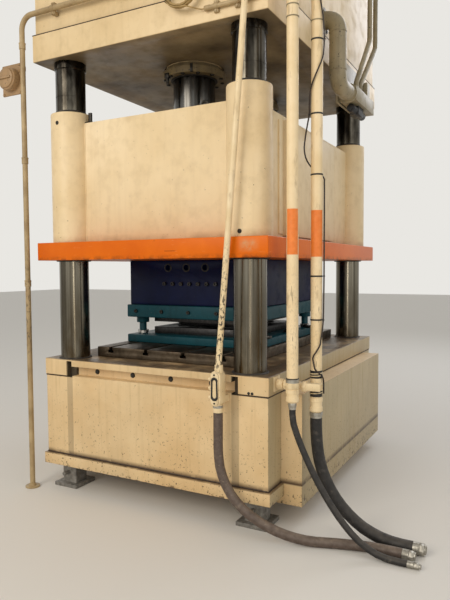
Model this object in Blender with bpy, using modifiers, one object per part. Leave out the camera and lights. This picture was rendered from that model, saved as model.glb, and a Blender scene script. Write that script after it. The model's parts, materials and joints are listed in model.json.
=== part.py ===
"""A four-column, down-acting hydraulic press with twin cylinders and a mounted die set.

Metres, +Z up. X runs along the front, Y away from the front, and Z = 0 is the floor.
Every piece hangs from one empty, which puts the middle of the footprint at the world's origin.
"""

import math

import bmesh
import bpy
from mathutils import Matrix, Vector

# Clearances and how finely round things are cut
FIT = 0.0003            # gap between two pieces that touch
RUN = 0.0006            # running clearance of a sliding fit, on the radius
OVERRUN = 0.02          # how far a cutter runs past the faces that it cuts
WELD = 0.00001          # points closer than this are one
BIG_SIDES = 20
SMALL_SIDES = 12
HEX_SIDES = 6
PIPE_RESOLUTION = 4     # 12 sides
HOSE_RESOLUTION = 2     # 8 sides

# The grid that the four columns stand on, and the two cylinders between them
COLUMN_SPAN_X = 1.38
COLUMN_SPAN_Y = 2.024
CYLINDER_SPAN_Y = 0.98
FOOTPRINT_SHIFT_Y = 0.047    # middle of the columns, behind the middle of the footprint

# Columns
COLUMN_R = 0.1015
COLUMN_FOOT_R = 0.064        # turned-down end that is bolted into the bed
COLUMN_HEAD_R = 0.080        # turned-down end that goes through the crown
COLUMN_COLLAR_R = 0.1075
COLUMN_COLLAR_HEIGHT = 0.05
COLUMN_GROOVE_BELOW_CROWN = 0.235
COLUMN_GROOVE_WIDTH = 0.006
COLUMN_GROOVE_DEPTH = 0.003
COLUMN_END_CHAMFER = 0.008
RAM_FOOT_TO_GLAND = 0.2819   # at rest: the upward stroke and a little more
THREAD_PROUD = 0.022
LOWER_NUT_R = 0.092
LOWER_NUT_HEIGHT = 0.09
UPPER_NUT_R = 0.132
UPPER_NUT_HEIGHT = 0.11
NUT_CHAMFER = 0.012

# Bed
FOOT_CLEARANCE = 0.173       # floor to the underside of the base lip
BED_EDGE_X = 0.1735            # outwards from the column axes
BED_EDGE_Y = 0.1215
LIP_HEIGHT = 0.075
LIP_PROUD = 0.018
APRON_HEIGHT = 0.562
APRON_SETBACK = 0.006
BED_SLAB_HEIGHT = 0.112
BED_DECK = 0.222             # thickness that the column ends are bolted through
BED_WALL = 0.055
BED_RIB = 0.04
BED_POCKET_COLUMNS = 4
BED_POCKET_ROWS = 6
SIDE_BLOCK_PROUD = 0.1285
SIDE_BLOCK_SETBACK = 0.1965    # its end, in from the bed's front face
SIDE_BLOCK_LOW = 0.120
SIDE_BLOCK_DROP = 0.012      # its top, under the slab
SLOT_WIDTH = 0.046
SLOT_DEPTH = 0.05
SLOT_ROOF = 0.010
SLOT_OUTER_X = 0.667
RECESS_DEPTH = 0.07
TABLE_EDGE = 0.046           # plate edge left over the recess
FOOT_PLATE_SIZE_X = 0.25
FOOT_PLATE_SIZE_Y = 0.27
FOOT_PLATE_THICKNESS = 0.03
NUT_POCKET_CLEARANCE = 0.008

# Levelling pads under the bed's corners
PAD_OUT_X = 0.04             # outwards from the column's axis
PAD_IN_Y = 0.012
PAD_BASE_HALF = 0.10
PAD_BASE_HEIGHT = 0.025
PAD_BLOCK_HALF = 0.06
PAD_BEVEL = 0.006
PAD_SCREW_R = 0.014
PAD_SCREW_LENGTH = 0.055
PAD_SCREW_HEIGHT_SHARE = 0.5

# Crown
CROWN_EDGE_X = 0.191           # outwards from the column axes
PLATES_EDGE_Y = 0.159          # crown plate and slide plate alike
CROWN_PLATE_THICKNESS = 0.18
CROWN_PLATE_BEVEL = 0.004
CROWN_BODY_STEP = 0.015      # body stands in from the plate's edge
CROWN_BODY_HEIGHT = 0.72
CROWN_ROOF = 0.06
CROWN_WALL = 0.05
CROWN_RIB = 0.045
CROWN_CORNER_X = 0.37        # solid corner that the column's head passes through
CROWN_CORNER_Y = 0.33
CROWN_LANE_HALF_X = 0.26     # middle lane that the cylinders stand in
CROWN_POCKET_COLUMNS = 2
CROWN_POCKET_ROWS = 4
CROWN_END_POCKETS = 3

# Cylinders and rams
BARREL_WALL = 0.05
BARREL_BORE_GAP = 0.01       # round the ram, filled by the piston
BARREL_ABOVE_CROWN = 0.17
BARREL_FLANGE_PROUD = 0.055
BARREL_FLANGE_HEIGHT = 0.05
BARREL_END = 0.10
BARREL_DOME = 0.03
RAM_R = 0.15
RAM_FOOT_PROUD = 0.05
RAM_FOOT_HEIGHT = 0.06
PISTON_HEIGHT = 0.14
PISTON_END_SPACE = 0.33      # oil space over the piston at rest
GLAND_WALL = 0.0725
GLAND_NECK_WALL = 0.046
GLAND_HEIGHT = 0.0745
GLAND_RIM = 0.05

# Slide
SLIDE_REST = 0.6865          # bed top to the underside of the slide plate
PLATE_EDGE_X = 0.1877          # outwards from the column axes
PLATE_THICKNESS = 0.1216
PLATE_BEVEL = 0.003
PLATE_BORE_CLEARANCE = 0.010
SLIDE_HEIGHT = 0.815
SLIDE_FACE_OUT = 0.018       # wall faces, outwards from the column axes
SLIDE_DECK = 0.09
SLIDE_WALL = 0.05
SLIDE_RIB = 0.04
SLIDE_POCKET_COLUMNS = 3
SLIDE_POCKET_ROWS = 6
BOSS_R = 0.1375
BOSS_RISE = 0.067
BOSS_CHAMFER = 0.006
BUSHING_R = 0.119
BUSHING_TOP_SINK = 0.004
WIPER_R = 0.112
WIPER_PROUD = 0.008
SIDE_PANEL_PROUD = 0.028
SIDE_PANEL_FRONT = 0.553     # in front of the middle
SIDE_PANEL_BACK = 0.45
SIDE_PANEL_INSET_Z = 0.03
PORT_R = 0.011               # grease port in each boss
PORT_DEPTH = 0.012
PORT_BELOW_TOP = 0.073
PORT_ABOVE_PLATE = 0.031

# Die set
BOLSTER_HALF_X = 0.57
BOLSTER_INSET_Y = 0.2135       # its ends, in from the bed's front and rear faces
BOLSTER_THICKNESS = 0.073
BOLSTER_BEVEL = 0.004
T_SLOTS = 4
T_SLOT_EDGE = 0.12           # first slot, in from the plate's side
T_NECK_HALF = 0.014
T_NECK_DEPTH = 0.022
T_FOOT_HALF = 0.024
T_FOOT_DEPTH = 0.018
SHOE_HALF_X = 0.547
SHOE_HALF_Y = 0.60
LOWER_SHOE_THICKNESS = 0.058
UPPER_SHOE_THICKNESS = 0.094
SHOE_BEVEL = 0.005
BLOCK_HALF_X = 0.5355
BLOCK_HALF_Y = 0.57
BLOCK_BEVEL = 0.004
PUNCH_HALF_X = 0.40
PUNCH_HALF_Y = 0.45
DIE_HEIGHT = 0.05
DIE_OPENING = 0.04           # die face to punch face at rest
NOSE_HALF_X = 0.28
NOSE_HALF_Y = 0.33
NOSE_HEIGHT = 0.03
NOSE_CORNER_R = 0.05
CAVITY_CLEARANCE = 0.006
CAVITY_DEPTH = 0.036
POST_R = 0.028
POST_IN_X = 0.075
POST_IN_Y = 0.10
POST_ENTRY = 0.05            # how far a post stands into the upper shoe at rest
POST_CHAMFER = 0.004
POST_BOSS_R = 0.048
POST_BOSS_DROP = 0.045
DIE_HEIGHT_SPACE = 0.131     # lower shoe to upper shoe at rest
LIFT_HOLES = 3
LIFT_HOLE_R = 0.022
LIFT_HOLE_DEPTH = 0.05
LIFT_HOLE_SPACING = 0.157
LIFT_HOLE_OFFSET_X = -0.034
LIFT_HOLE_BELOW_TOP = 0.055

# Leaning conduit on the front, and its pull box
CONDUIT_A_R = 0.018
CONDUIT_A_TOP_IN = 0.091     # its top, in from the crown plate's side
CONDUIT_A_LOW_IN = 0.2755    # its foot, in from the bed's side
CONDUIT_A_FRONT = 0.050      # its axis, in front of the crown plate
CONDUIT_A_ABOVE_SEAM = 0.1885
CONDUIT_A_BEND_R = 0.045
CONDUIT_A_STRAIGHT = 0.03
PULL_BOX_OFFSET = 0.007      # its middle, left of the conduit
PULL_BOX_BELOW_BED_TOP = 0.170
PULL_BOX_HEIGHT = 0.205
PULL_BOX_WIDTH = 0.066
PULL_BOX_DEPTH = 0.068
PULL_BOX_ROUND_SHARE = 0.98  # end radius, of half the width
PULL_BOX_COVER_SHRINK = 0.008
PULL_BOX_COVER_PROUD = 0.010
HUB_R = 0.026
HUB_HEIGHT = 0.034
GLAND_NUT_R = 0.031
GLAND_NUT_HEIGHT = 0.040
NIPPLE_R = 0.013
NIPPLE_LENGTH = 0.026
NIPPLE_SHARES = (0.22, 0.48, 0.74)
BOX_FOOT_WIDTH = 0.05
BOX_FOOT_HEIGHT = 0.08

# Two riser conduits on the right, their couplings and the strut that holds them
RISER_R = 0.0333
RISERS_ABOVE_SEAM = 0.2785
RISER_BEND_R = 0.10
RISER_B_OUT = 0.114          # outwards from the crown plate's side
RISER_B_BACK = 0.071         # back from the crown plate's front
RISER_B_BELOW_BED_TOP = 0.056
RISER_C_OUT = 0.204
RISER_C_BACK = 0.216
RISER_C_BELOW_BED_TOP = 0.122
COUPLING_R = 0.0375
COUPLING_NECK_R = 0.034
COUPLING_B_HEIGHT = 0.078
COUPLING_C_HEIGHT = 0.088
COUPLING_BAND = 0.022
COUPLING_GROOVE = 0.004
NUT_B_R = 0.024
NUT_B_HEIGHT = 0.040
NUT_C_R = 0.039
NUT_C_HEIGHT = 0.034
STRUT_HALF = 0.0205
STRUT_WALL = 0.003
STRUT_BELOW_BED_TOP = 0.050
STRUT_PAST_RISER = 0.055
STRUT_PLATE_HALF = 0.042
STRUT_PLATE_THICKNESS = 0.008
CLAMP_WALL = 0.005
CLAMP_HEIGHT = 0.032

# Conduit run on the crown's front left, down to the floor, with its junction box
RUN_R = 0.018
RUN_ABOVE_SEAM = 0.1285
RUN_FRONT = 0.030            # its axis, in front of the crown plate
RUN_START_X = 0.205
DROP_OUT = 0.064             # outwards from the crown plate's side
DROP_BEND_R = 0.09
FLOOR_FLANGE_R = 0.05
FLOOR_FLANGE_HEIGHT = 0.012
RUN_CLAMPS_X = (-0.66, -0.10)
RUN_CLAMP_WIDTH = 0.03
RUN_CLAMP_SHARES = (0.6, 1.8)
RUN_END_R = 0.024
RUN_END_LENGTH = 0.035
JUNCTION_BELOW_RUN = 0.405
JUNCTION_OUT_X = 0.108
JUNCTION_PLATE_HALF_X = 0.090
JUNCTION_PLATE_HALF_Z = 0.105
JUNCTION_PLATE_THICKNESS = 0.012
JUNCTION_R = 0.078
JUNCTION_DEPTH = 0.052
JUNCTION_LID_R = 0.066
JUNCTION_LID_PROUD = 0.010
JUNCTION_STRAP_SHARE = 0.55

# Short conduit run on the crown plate's front right, and the coil of spare cable
SHORT_RUN_R = 0.0135
SHORT_RUN_FRONT = 0.016      # its axis, in front of the crown plate
SHORT_END_R = 0.0155
SHORT_RUN_ABOVE_CROWN_LOW = 0.0705
SHORT_RUN_START_X = 0.510
SHORT_RUN_END_IN = 0.023     # in from the crown plate's side
SHORT_RUN_RISE = 0.34
SHORT_RUN_BEND_R = 0.05
SHORT_RUN_CLAMPS_X = (0.565, 0.700)
SHORT_CLAMP_SHARES = (0.7, 2.2)
SHORT_BOX_HALF = 0.022
COIL_X = 0.350
COIL_BELOW_RUN = 0.102
COIL_R = 0.108               # middle of the bundle
COIL_SECTION_R = 0.016
COIL_FRONT = 0.025           # in front of the conduit run's axis
HOOK_R = 0.007               # hook on the crown that the coil hangs on
HOOK_CLEAR = 0.014
HOOK_TIP_HEIGHT = 0.032

# Oil manifold on the crown's right side
MANIFOLD_OUT = 0.094         # outwards from the crown plate's side
MANIFOLD_HALF_X = 0.060
MANIFOLD_FRONT_Y = 0.03
MANIFOLD_BACK_Y = 0.53
MANIFOLD_BELOW_CROWN = 0.2165
MANIFOLD_HEIGHT = 0.105
HANGER_THICKNESS = 0.018
HANGER_HEIGHT = 0.345
STACK_HALF_X = 0.032
STACK_LENGTH = 0.10
STACK_HEIGHT = 0.13
VALVE_HALF_X = 0.034
VALVE_LENGTH = 0.13
VALVE_HEIGHT = 0.062
VALVE_COIL_R = 0.031
VALVE_COIL_LENGTH = 0.085
VALVE_CAP_R = 0.018
VALVE_CAP_LENGTH = 0.014
VALVE_Y = 0.25
SUCTION_R = 0.058
SUCTION_Y = -0.22
SUCTION_ABOVE_SEAM = 0.0935
SUCTION_BEND_R = 0.085
SUCTION_FLANGE_R = 0.085
SUCTION_FLANGE_THICKNESS = 0.018
TUBE_R = 0.019
TUBE_STARTS_Y = (0.235, 0.335)
TUBE_LIFT = 0.075
TUBE_KNEES_Y = (0.62, 0.80)
TUBE_KNEE_ABOVE_SEAM = 0.2185
TUBE_OVER_CROWN = 0.115
TUBE_BEND_R = 0.05

# Thin signal cable strapped to the rear riser
SIGNAL_R = 0.0045
SIGNAL_BELOW_RISER_TOP = 0.12
SIGNAL_ABOVE_RISER_END = 0.022
SIGNAL_SIDE = 195            # degrees round the riser
SIGNAL_SWING = 12            # degrees either way
SIGNAL_TURNS = 1.5
SIGNAL_POINTS = 28

# Hoses: radius, end connector and the route on the floor
HOSE_A_R = 0.028
HOSE_B_R = 0.0185
HOSE_C_R = 0.0345
FLOOR_REST = 0.0005
CONNECTOR_LENGTH = 0.07
CONNECTOR_STEP = 0.006
CONNECTOR_NUT_SHARE = 0.45
HOSE_STEP_DIAMETERS = 2.4

COLUMN_X = COLUMN_SPAN_X / 2
COLUMN_Y = COLUMN_SPAN_Y / 2
CYLINDER_Y = CYLINDER_SPAN_Y / 2
BARREL_BORE_R = RAM_R + BARREL_BORE_GAP
BARREL_R = BARREL_BORE_R + BARREL_WALL
BARREL_FLANGE_R = BARREL_R + BARREL_FLANGE_PROUD
RAM_FOOT_R = RAM_R + RAM_FOOT_PROUD
GLAND_R = RAM_R + GLAND_WALL
GLAND_NECK_R = RAM_R + GLAND_NECK_WALL
BED_HALF_X = COLUMN_X + BED_EDGE_X
BED_HALF_Y = COLUMN_Y + BED_EDGE_Y
SIDE_BLOCK_HALF_Y = BED_HALF_Y - SIDE_BLOCK_SETBACK
BOLSTER_HALF_Y = BED_HALF_Y - BOLSTER_INSET_Y
CROWN_PLATE_HALF_X = COLUMN_X + CROWN_EDGE_X
CROWN_PLATE_HALF_Y = COLUMN_Y + PLATES_EDGE_Y
PLATE_HALF_X = COLUMN_X + PLATE_EDGE_X
PLATE_HALF_Y = COLUMN_Y + PLATES_EDGE_Y
BED_SHOULDER = FOOT_CLEARANCE + LIP_HEIGHT + APRON_HEIGHT
BED_TOP = BED_SHOULDER + BED_SLAB_HEIGHT
SLIDE_STACK = PLATE_THICKNESS + SLIDE_HEIGHT + RAM_FOOT_HEIGHT
COLUMN_LENGTH = SLIDE_REST + SLIDE_STACK + RAM_FOOT_TO_GLAND + GLAND_HEIGHT     # bed top to crown underside
CROWN_LOW = BED_TOP + COLUMN_LENGTH
CROWN_SEAM = CROWN_LOW + CROWN_PLATE_THICKNESS
CROWN_TOP = CROWN_SEAM + CROWN_BODY_HEIGHT
CROWN_BODY_HALF_X = CROWN_PLATE_HALF_X - CROWN_BODY_STEP
CROWN_BODY_HALF_Y = CROWN_PLATE_HALF_Y - CROWN_BODY_STEP
PLATE_LOW = BED_TOP + SLIDE_REST
PLATE_TOP = PLATE_LOW + PLATE_THICKNESS
SLIDE_TOP = PLATE_TOP + SLIDE_HEIGHT
BOSS_TOP = SLIDE_TOP + BOSS_RISE
SLIDE_HALF_X = COLUMN_X + SLIDE_FACE_OUT
SLIDE_HALF_Y = COLUMN_Y + SLIDE_FACE_OUT
BOLSTER_TOP = BED_TOP + BOLSTER_THICKNESS
SHOE_LOW_TOP = BOLSTER_TOP + LOWER_SHOE_THICKNESS
SHOE_UP_LOW = SHOE_LOW_TOP + DIE_HEIGHT_SPACE
SHOE_UP_TOP = SHOE_UP_LOW + UPPER_SHOE_THICKNESS
POST_X = SHOE_HALF_X - POST_IN_X
POST_Y = SHOE_HALF_Y - POST_IN_Y
BARREL_TOP = CROWN_TOP + BARREL_ABOVE_CROWN
PISTON_TOP = BARREL_TOP - BARREL_END - PISTON_END_SPACE
CONDUIT_A_Y = -CROWN_PLATE_HALF_Y - CONDUIT_A_FRONT
CONDUIT_A_TOP_X = CROWN_PLATE_HALF_X - CONDUIT_A_TOP_IN
CONDUIT_A_LOW_X = BED_HALF_X - CONDUIT_A_LOW_IN
CONDUIT_A_TOP_Z = CROWN_SEAM + CONDUIT_A_ABOVE_SEAM
PULL_BOX_X = CONDUIT_A_LOW_X - PULL_BOX_OFFSET
PULL_BOX_LOW = BED_TOP - PULL_BOX_BELOW_BED_TOP
RISER_TOP_Z = CROWN_SEAM + RISERS_ABOVE_SEAM
RISER_B_X = CROWN_PLATE_HALF_X + RISER_B_OUT
RISER_B_Y = RISER_B_BACK - CROWN_PLATE_HALF_Y
RISER_B_END_Z = BED_TOP - RISER_B_BELOW_BED_TOP
RISER_C_X = CROWN_PLATE_HALF_X + RISER_C_OUT
RISER_C_Y = RISER_C_BACK - CROWN_PLATE_HALF_Y
RISER_C_END_Z = BED_TOP - RISER_C_BELOW_BED_TOP
RUN_Z = CROWN_SEAM + RUN_ABOVE_SEAM
DROP_X = -CROWN_PLATE_HALF_X - DROP_OUT
JUNCTION_Z = RUN_Z - JUNCTION_BELOW_RUN
SHORT_RUN_Z = CROWN_LOW + SHORT_RUN_ABOVE_CROWN_LOW
SHORT_RUN_END_X = CROWN_PLATE_HALF_X - SHORT_RUN_END_IN
COIL_Z = RUN_Z - COIL_BELOW_RUN
MANIFOLD_X = CROWN_PLATE_HALF_X + MANIFOLD_OUT
MANIFOLD_LOW = CROWN_LOW - MANIFOLD_BELOW_CROWN
SUCTION_TOP_Z = CROWN_SEAM + SUCTION_ABOVE_SEAM
TUBE_KNEE_Z = CROWN_SEAM + TUBE_KNEE_ABOVE_SEAM
SIGNAL_TOP_Z = RISER_TOP_Z - SIGNAL_BELOW_RISER_TOP
SIGNAL_LOW_Z = RISER_C_END_Z + SIGNAL_ABOVE_RISER_END
RUN_Y = -CROWN_PLATE_HALF_Y - RUN_FRONT
SHORT_RUN_Y = -CROWN_PLATE_HALF_Y - SHORT_RUN_FRONT
COIL_Y = RUN_Y - COIL_FRONT
MANIFOLD_TOP = MANIFOLD_LOW + MANIFOLD_HEIGHT
PULL_BOX_TOP = PULL_BOX_LOW + PULL_BOX_HEIGHT
CONDUIT_A_END_Z = PULL_BOX_TOP + HUB_HEIGHT
HOSE_A_START_Z = PULL_BOX_LOW - GLAND_NUT_HEIGHT
HOSE_B_START_Z = RISER_B_END_Z - COUPLING_B_HEIGHT - NUT_B_HEIGHT
HOSE_C_START_Z = RISER_C_END_Z - COUPLING_C_HEIGHT - NUT_C_HEIGHT

CORNERS = {
    "front_left": (-1, -1),
    "front_right": (1, -1),
    "back_left": (-1, 1),
    "back_right": (1, 1),
}
CYLINDERS = {"front": -1, "back": 1}

COLUMN_PLACES = [(sign_x * COLUMN_X, sign_y * COLUMN_Y) for sign_x, sign_y in CORNERS.values()]
CYLINDER_PLACES = [(0, sign * CYLINDER_Y) for sign in CYLINDERS.values()]

HOSE_A_ROUTE = (
    (PULL_BOX_X, CONDUIT_A_Y, HOSE_A_START_Z - FIT),
    (PULL_BOX_X, CONDUIT_A_Y, 0.675),
    (0.581, -1.222, 0.590),
    (0.583, -1.225, 0.490),
    (0.598, -1.228, 0.380),
    (0.648, -1.230, 0.270),
    (0.730, -1.228, 0.180),
    (0.845, -1.215, 0.108),
    (0.975, -1.190, 0.058),
    (1.110, -1.150, 0.031),
    (1.260, -1.100, HOSE_A_R + FLOOR_REST),
    (1.410, -1.062, HOSE_A_R + FLOOR_REST),
    (1.530, -1.052, HOSE_A_R + FLOOR_REST),
    (1.600, -1.052, HOSE_A_R + FLOOR_REST),
)
HOSE_B_ROUTE = (
    (RISER_B_X, RISER_B_Y, HOSE_B_START_Z - FIT),
    (RISER_B_X, RISER_B_Y, 0.718),
    (1.001, -1.101, 0.670),
    (1.035, -1.104, 0.580),
    (1.098, -1.109, 0.450),
    (1.175, -1.115, 0.320),
    (1.268, -1.122, 0.195),
    (1.365, -1.128, 0.098),
    (1.455, -1.132, 0.043),
    (1.530, -1.132, 0.023),
    (1.590, -1.132, HOSE_B_R + FLOOR_REST),
    (1.640, -1.132, HOSE_B_R + FLOOR_REST),
)
HOSE_C_ROUTE = (
    (RISER_C_X, RISER_C_Y, HOSE_C_START_Z - FIT),
    (RISER_C_X, RISER_C_Y, 0.640),
    (1.088, -0.955, 0.570),
    (1.097, -0.956, 0.480),
    (1.120, -0.958, 0.385),
    (1.168, -0.961, 0.280),
    (1.245, -0.964, 0.180),
    (1.345, -0.967, 0.100),
    (1.440, -0.969, 0.058),
    (1.520, -0.970, 0.040),
    (1.580, -0.970, HOSE_C_R + FLOOR_REST),
    (1.640, -0.970, HOSE_C_R + FLOOR_REST),
)

COLOURS = {
    "cream_paint": ((0.78, 0.62, 0.40), 0.45, 0.0),
    "orange_paint": ((0.80, 0.19, 0.01), 0.4, 0.0),
    "polished_steel": ((0.32, 0.32, 0.34), 0.18, 1.0),
    "machined_steel": ((0.30, 0.29, 0.28), 0.4, 1.0),
    "bronze": ((0.45, 0.27, 0.10), 0.35, 1.0),
    "navy_paint": ((0.012, 0.018, 0.05), 0.4, 0.0),
    "teal_paint": ((0.014, 0.08, 0.09), 0.45, 0.0),
    "tool_steel": ((0.06, 0.06, 0.065), 0.45, 1.0),
    "cast_iron": ((0.16, 0.14, 0.12), 0.6, 0.6),
    "zinc_fitting": ((0.55, 0.54, 0.50), 0.35, 1.0),
    "black_rubber": ((0.025, 0.021, 0.018), 0.6, 0.0),
    "blue_black_plastic": ((0.012, 0.016, 0.03), 0.4, 0.0),
}


def start_scene():
    """Empty the scene and make the collections, the materials and the empty that carries it all."""
    for thing in list(bpy.data.objects):
        bpy.data.objects.remove(thing, do_unlink=True)
    root = bpy.context.scene.collection
    pieces = bpy.data.collections.new("hydraulic_press")
    cutters = bpy.data.collections.new("cutters")
    root.children.link(pieces)
    root.children.link(cutters)
    for name, (colour, roughness, metallic) in COLOURS.items():
        material = bpy.data.materials.new(name)
        material.use_nodes = True
        shader = material.node_tree.nodes["Principled BSDF"]
        shader.inputs["Base Color"].default_value = (*colour, 1.0)
        shader.inputs["Roughness"].default_value = roughness
        shader.inputs["Metallic"].default_value = metallic
        material.diffuse_color = (*colour, 1.0)
    centre = bpy.data.objects.new("press_centre", None)
    centre.location = (0, FOOTPRINT_SHIFT_Y, 0)
    pieces.objects.link(centre)
    return pieces, cutters, centre


def add_object(name, data, location=(0, 0, 0)):
    """A new object on the press's empty, not yet a piece or a cutter."""
    thing = bpy.data.objects.new(name, data)
    thing.location = location
    thing.parent = CENTRE
    PIECES.objects.link(thing)
    return thing


def as_piece(thing, material):
    thing.data.materials.append(bpy.data.materials[material])
    if thing.type == "MESH":
        thing.data.shade_smooth()
        thing.data.set_sharp_from_angle(angle=math.radians(35))
    return thing


def as_cutter(thing):
    PIECES.objects.unlink(thing)
    CUTTERS.objects.link(thing)
    thing.hide_render = True
    thing.display_type = "WIRE"
    return thing


def block(name, low, high):
    """A box between two corners, with its origin in its middle."""
    low, high = Vector(low), Vector(high)
    mesh = bpy.data.meshes.new(name)
    shape = bmesh.new()
    bmesh.ops.create_cube(shape, size=1.0, matrix=Matrix.Diagonal((*(high - low), 1.0)))
    shape.to_mesh(mesh)
    shape.free()
    return add_object(name, mesh, (low + high) / 2)


def blocks(name, boxes):
    """Several separate boxes in one mesh, for a cutter that repeats."""
    mesh = bpy.data.meshes.new(name)
    shape = bmesh.new()
    for low, high in boxes:
        low, high = Vector(low), Vector(high)
        place = Matrix.Translation((low + high) / 2) @ Matrix.Diagonal((*(high - low), 1.0))
        bmesh.ops.create_cube(shape, size=1.0, matrix=place)
    shape.to_mesh(mesh)
    shape.free()
    return add_object(name, mesh)


def turned(name, profile, sides, location=(0, 0, 0), closed=False):
    """A turned shape about Z. The profile runs down the outer side, top to bottom."""
    mesh = bpy.data.meshes.new(name)
    count = len(profile)
    edges = [(i, i + 1) for i in range(count - 1)]
    if closed:
        edges.append((count - 1, 0))
    mesh.from_pydata([(radius, 0, height) for radius, height in profile], edges, [])
    thing = add_object(name, mesh, location)
    screw = thing.modifiers.new("turn", "SCREW")
    screw.steps = sides
    screw.render_steps = sides
    screw.use_merge_vertices = True
    screw.merge_threshold = WELD
    return thing


def rod(name, radius, low, high, sides, location=(0, 0), chamfer=0):
    """A plain round bar between two heights."""
    top = [(0, high), (radius - chamfer, high)] + ([(radius, high - chamfer)] if chamfer else [])
    foot = ([(radius, low + chamfer)] if chamfer else []) + [(radius - chamfer, low), (0, low)]
    return turned(name, top + foot, sides, (*location, 0))


def rods(name, radius, low, high, sides, places):
    """Equal round bars at several places, separate bodies in one mesh."""
    mesh = bpy.data.meshes.new(name)
    shape = bmesh.new()
    for x, y in places:
        bmesh.ops.create_cone(shape, cap_ends=True, segments=sides, radius1=radius, radius2=radius,
                              depth=high - low, matrix=Matrix.Translation((x, y, (low + high) / 2)))
    shape.to_mesh(mesh)
    shape.free()
    return add_object(name, mesh)


def ring(name, outer, inner, low, high, sides, location=(0, 0)):
    """A plain ring between two heights."""
    profile = [(outer, high), (outer, low), (inner, low), (inner, high)]
    return turned(name, profile, sides, (*location, 0), closed=True)


def clear_of(radius):
    """Corner radius of a faceted bore that clears a round bar by the fit."""
    return (radius + FIT) / math.cos(math.pi / BIG_SIDES)


def lay_along(thing, axis, location):
    """Turn a piece made about Z so that it lies along X or Y, and put it at its place."""
    turn = {"X": (0, math.radians(90), 0), "Y": (math.radians(-90), 0, 0)}[axis]
    thing.rotation_euler = turn
    thing.location = location
    return thing


def boolean(target, other, operation):
    step = target.modifiers.new(f"{operation.lower()}_{other.name}", "BOOLEAN")
    step.operation = operation
    step.object = as_cutter(other)
    step.solver = "EXACT"
    return target


def cut(target, other):
    return boolean(target, other, "DIFFERENCE")


def join(target, other):
    return boolean(target, other, "UNION")


def bevel(thing, width, segments=1):
    edge = thing.modifiers.new("edge", "BEVEL")
    edge.width = width
    edge.segments = segments
    edge.limit_method = "ANGLE"
    return thing


def rounded_path(points, radius, steps=4):
    """A path with an arc of the given radius at each inner corner."""
    points = [Vector(point) for point in points]
    path = [points[0]]
    for before, corner, after in zip(points, points[1:], points[2:]):
        back = (before - corner).normalized()
        ahead = (after - corner).normalized()
        half = back.angle(ahead) / 2
        reach = radius / math.tan(half)
        middle = corner + (back + ahead).normalized() * (radius / math.sin(half))
        start = corner + back * reach - middle
        sweep = math.pi - 2 * half
        axis = start.cross(corner + ahead * reach - middle).normalized()
        for i in range(steps + 1):
            path.append(middle + Matrix.Rotation(sweep * i / steps, 3, axis) @ start)
    path.append(points[-1])
    return path


def smooth_path(points, step):
    """Points about a step apart on a smooth curve, with a straight first and last stretch."""
    points = [Vector(point) for point in points]
    fine = []
    for a, b, c, d in zip(points, points[1:], points[2:], points[3:]):
        for i in range(20):
            t = i / 20
            fine.append(0.5 * (2 * b + (c - a) * t + (2 * a - 5 * b + 4 * c - d) * t ** 2
                               + (3 * b - a - 3 * c + d) * t ** 3))
    fine.append(points[-2])
    lengths = [0.0]
    for before, after in zip(fine, fine[1:]):
        lengths.append(lengths[-1] + (after - before).length)
    count = max(2, round(lengths[-1] / step))
    path, at = [], 0
    for i in range(count + 1):
        want = lengths[-1] * i / count
        while at < len(fine) - 2 and lengths[at + 1] < want:
            at += 1
        share = (want - lengths[at]) / (lengths[at + 1] - lengths[at])
        path.append(fine[at].lerp(fine[at + 1], share))
    return [points[0], *path, points[-1]]


def tube(name, path, radius, resolution):
    """A round tube or rod along a path, with closed ends."""
    curve = bpy.data.curves.new(name, "CURVE")
    curve.dimensions = "3D"
    curve.bevel_depth = radius
    curve.bevel_resolution = resolution
    curve.use_fill_caps = True
    spline = curve.splines.new("POLY")
    spline.points.add(len(path) - 1)
    for point, place in zip(spline.points, path):
        point.co = (*place, 1.0)
    return add_object(name, curve)


def tube_mesh(name, path, radius, resolution):
    """The same tube as a welded mesh of flat faces, for a piece that is cut or joined."""
    curve = tube(name + "_curve", path, radius, resolution)
    graph = bpy.context.evaluated_depsgraph_get()
    mesh = bpy.data.meshes.new_from_object(curve.evaluated_get(graph))
    mesh.name = name
    shape = bmesh.new()
    shape.from_mesh(mesh)
    bmesh.ops.remove_doubles(shape, verts=shape.verts, dist=WELD)
    bmesh.ops.recalc_face_normals(shape, faces=shape.faces)
    bmesh.ops.triangulate(shape, faces=shape.faces)
    shape.to_mesh(mesh)
    shape.free()
    bpy.data.objects.remove(curve, do_unlink=True)
    return add_object(name, mesh)


def flat_outline(name, outline, thickness, location, turn=(0, 0, 0)):
    """A flat shape in the plane of its outline, thickened both ways from its middle."""
    mesh = bpy.data.meshes.new(name)
    shape = bmesh.new()
    face = shape.faces.new([shape.verts.new((x, y, -thickness / 2)) for x, y in outline])
    if face.normal.z > 0:
        face.normal_flip()
    lifted = bmesh.ops.extrude_face_region(shape, geom=[face])
    moved = [part for part in lifted["geom"] if isinstance(part, bmesh.types.BMVert)]
    bmesh.ops.translate(shape, verts=moved, vec=(0, 0, thickness))
    bmesh.ops.recalc_face_normals(shape, faces=shape.faces)
    shape.to_mesh(mesh)
    shape.free()
    thing = add_object(name, mesh, location)
    thing.rotation_euler = turn
    return thing


def rounded_rectangle(half_x, half_y, radius, steps=4):
    """Points round a rectangle with round corners, anticlockwise."""
    outline = []
    for index, (sign_x, sign_y) in enumerate(((1, 1), (-1, 1), (-1, -1), (1, -1))):
        centre_x = sign_x * (half_x - radius)
        centre_y = sign_y * (half_y - radius)
        for i in range(steps + 1):
            angle = math.pi / 2 * (index + i / steps)
            outline.append((centre_x + radius * math.cos(angle), centre_y + radius * math.sin(angle)))
    return outline


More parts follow.
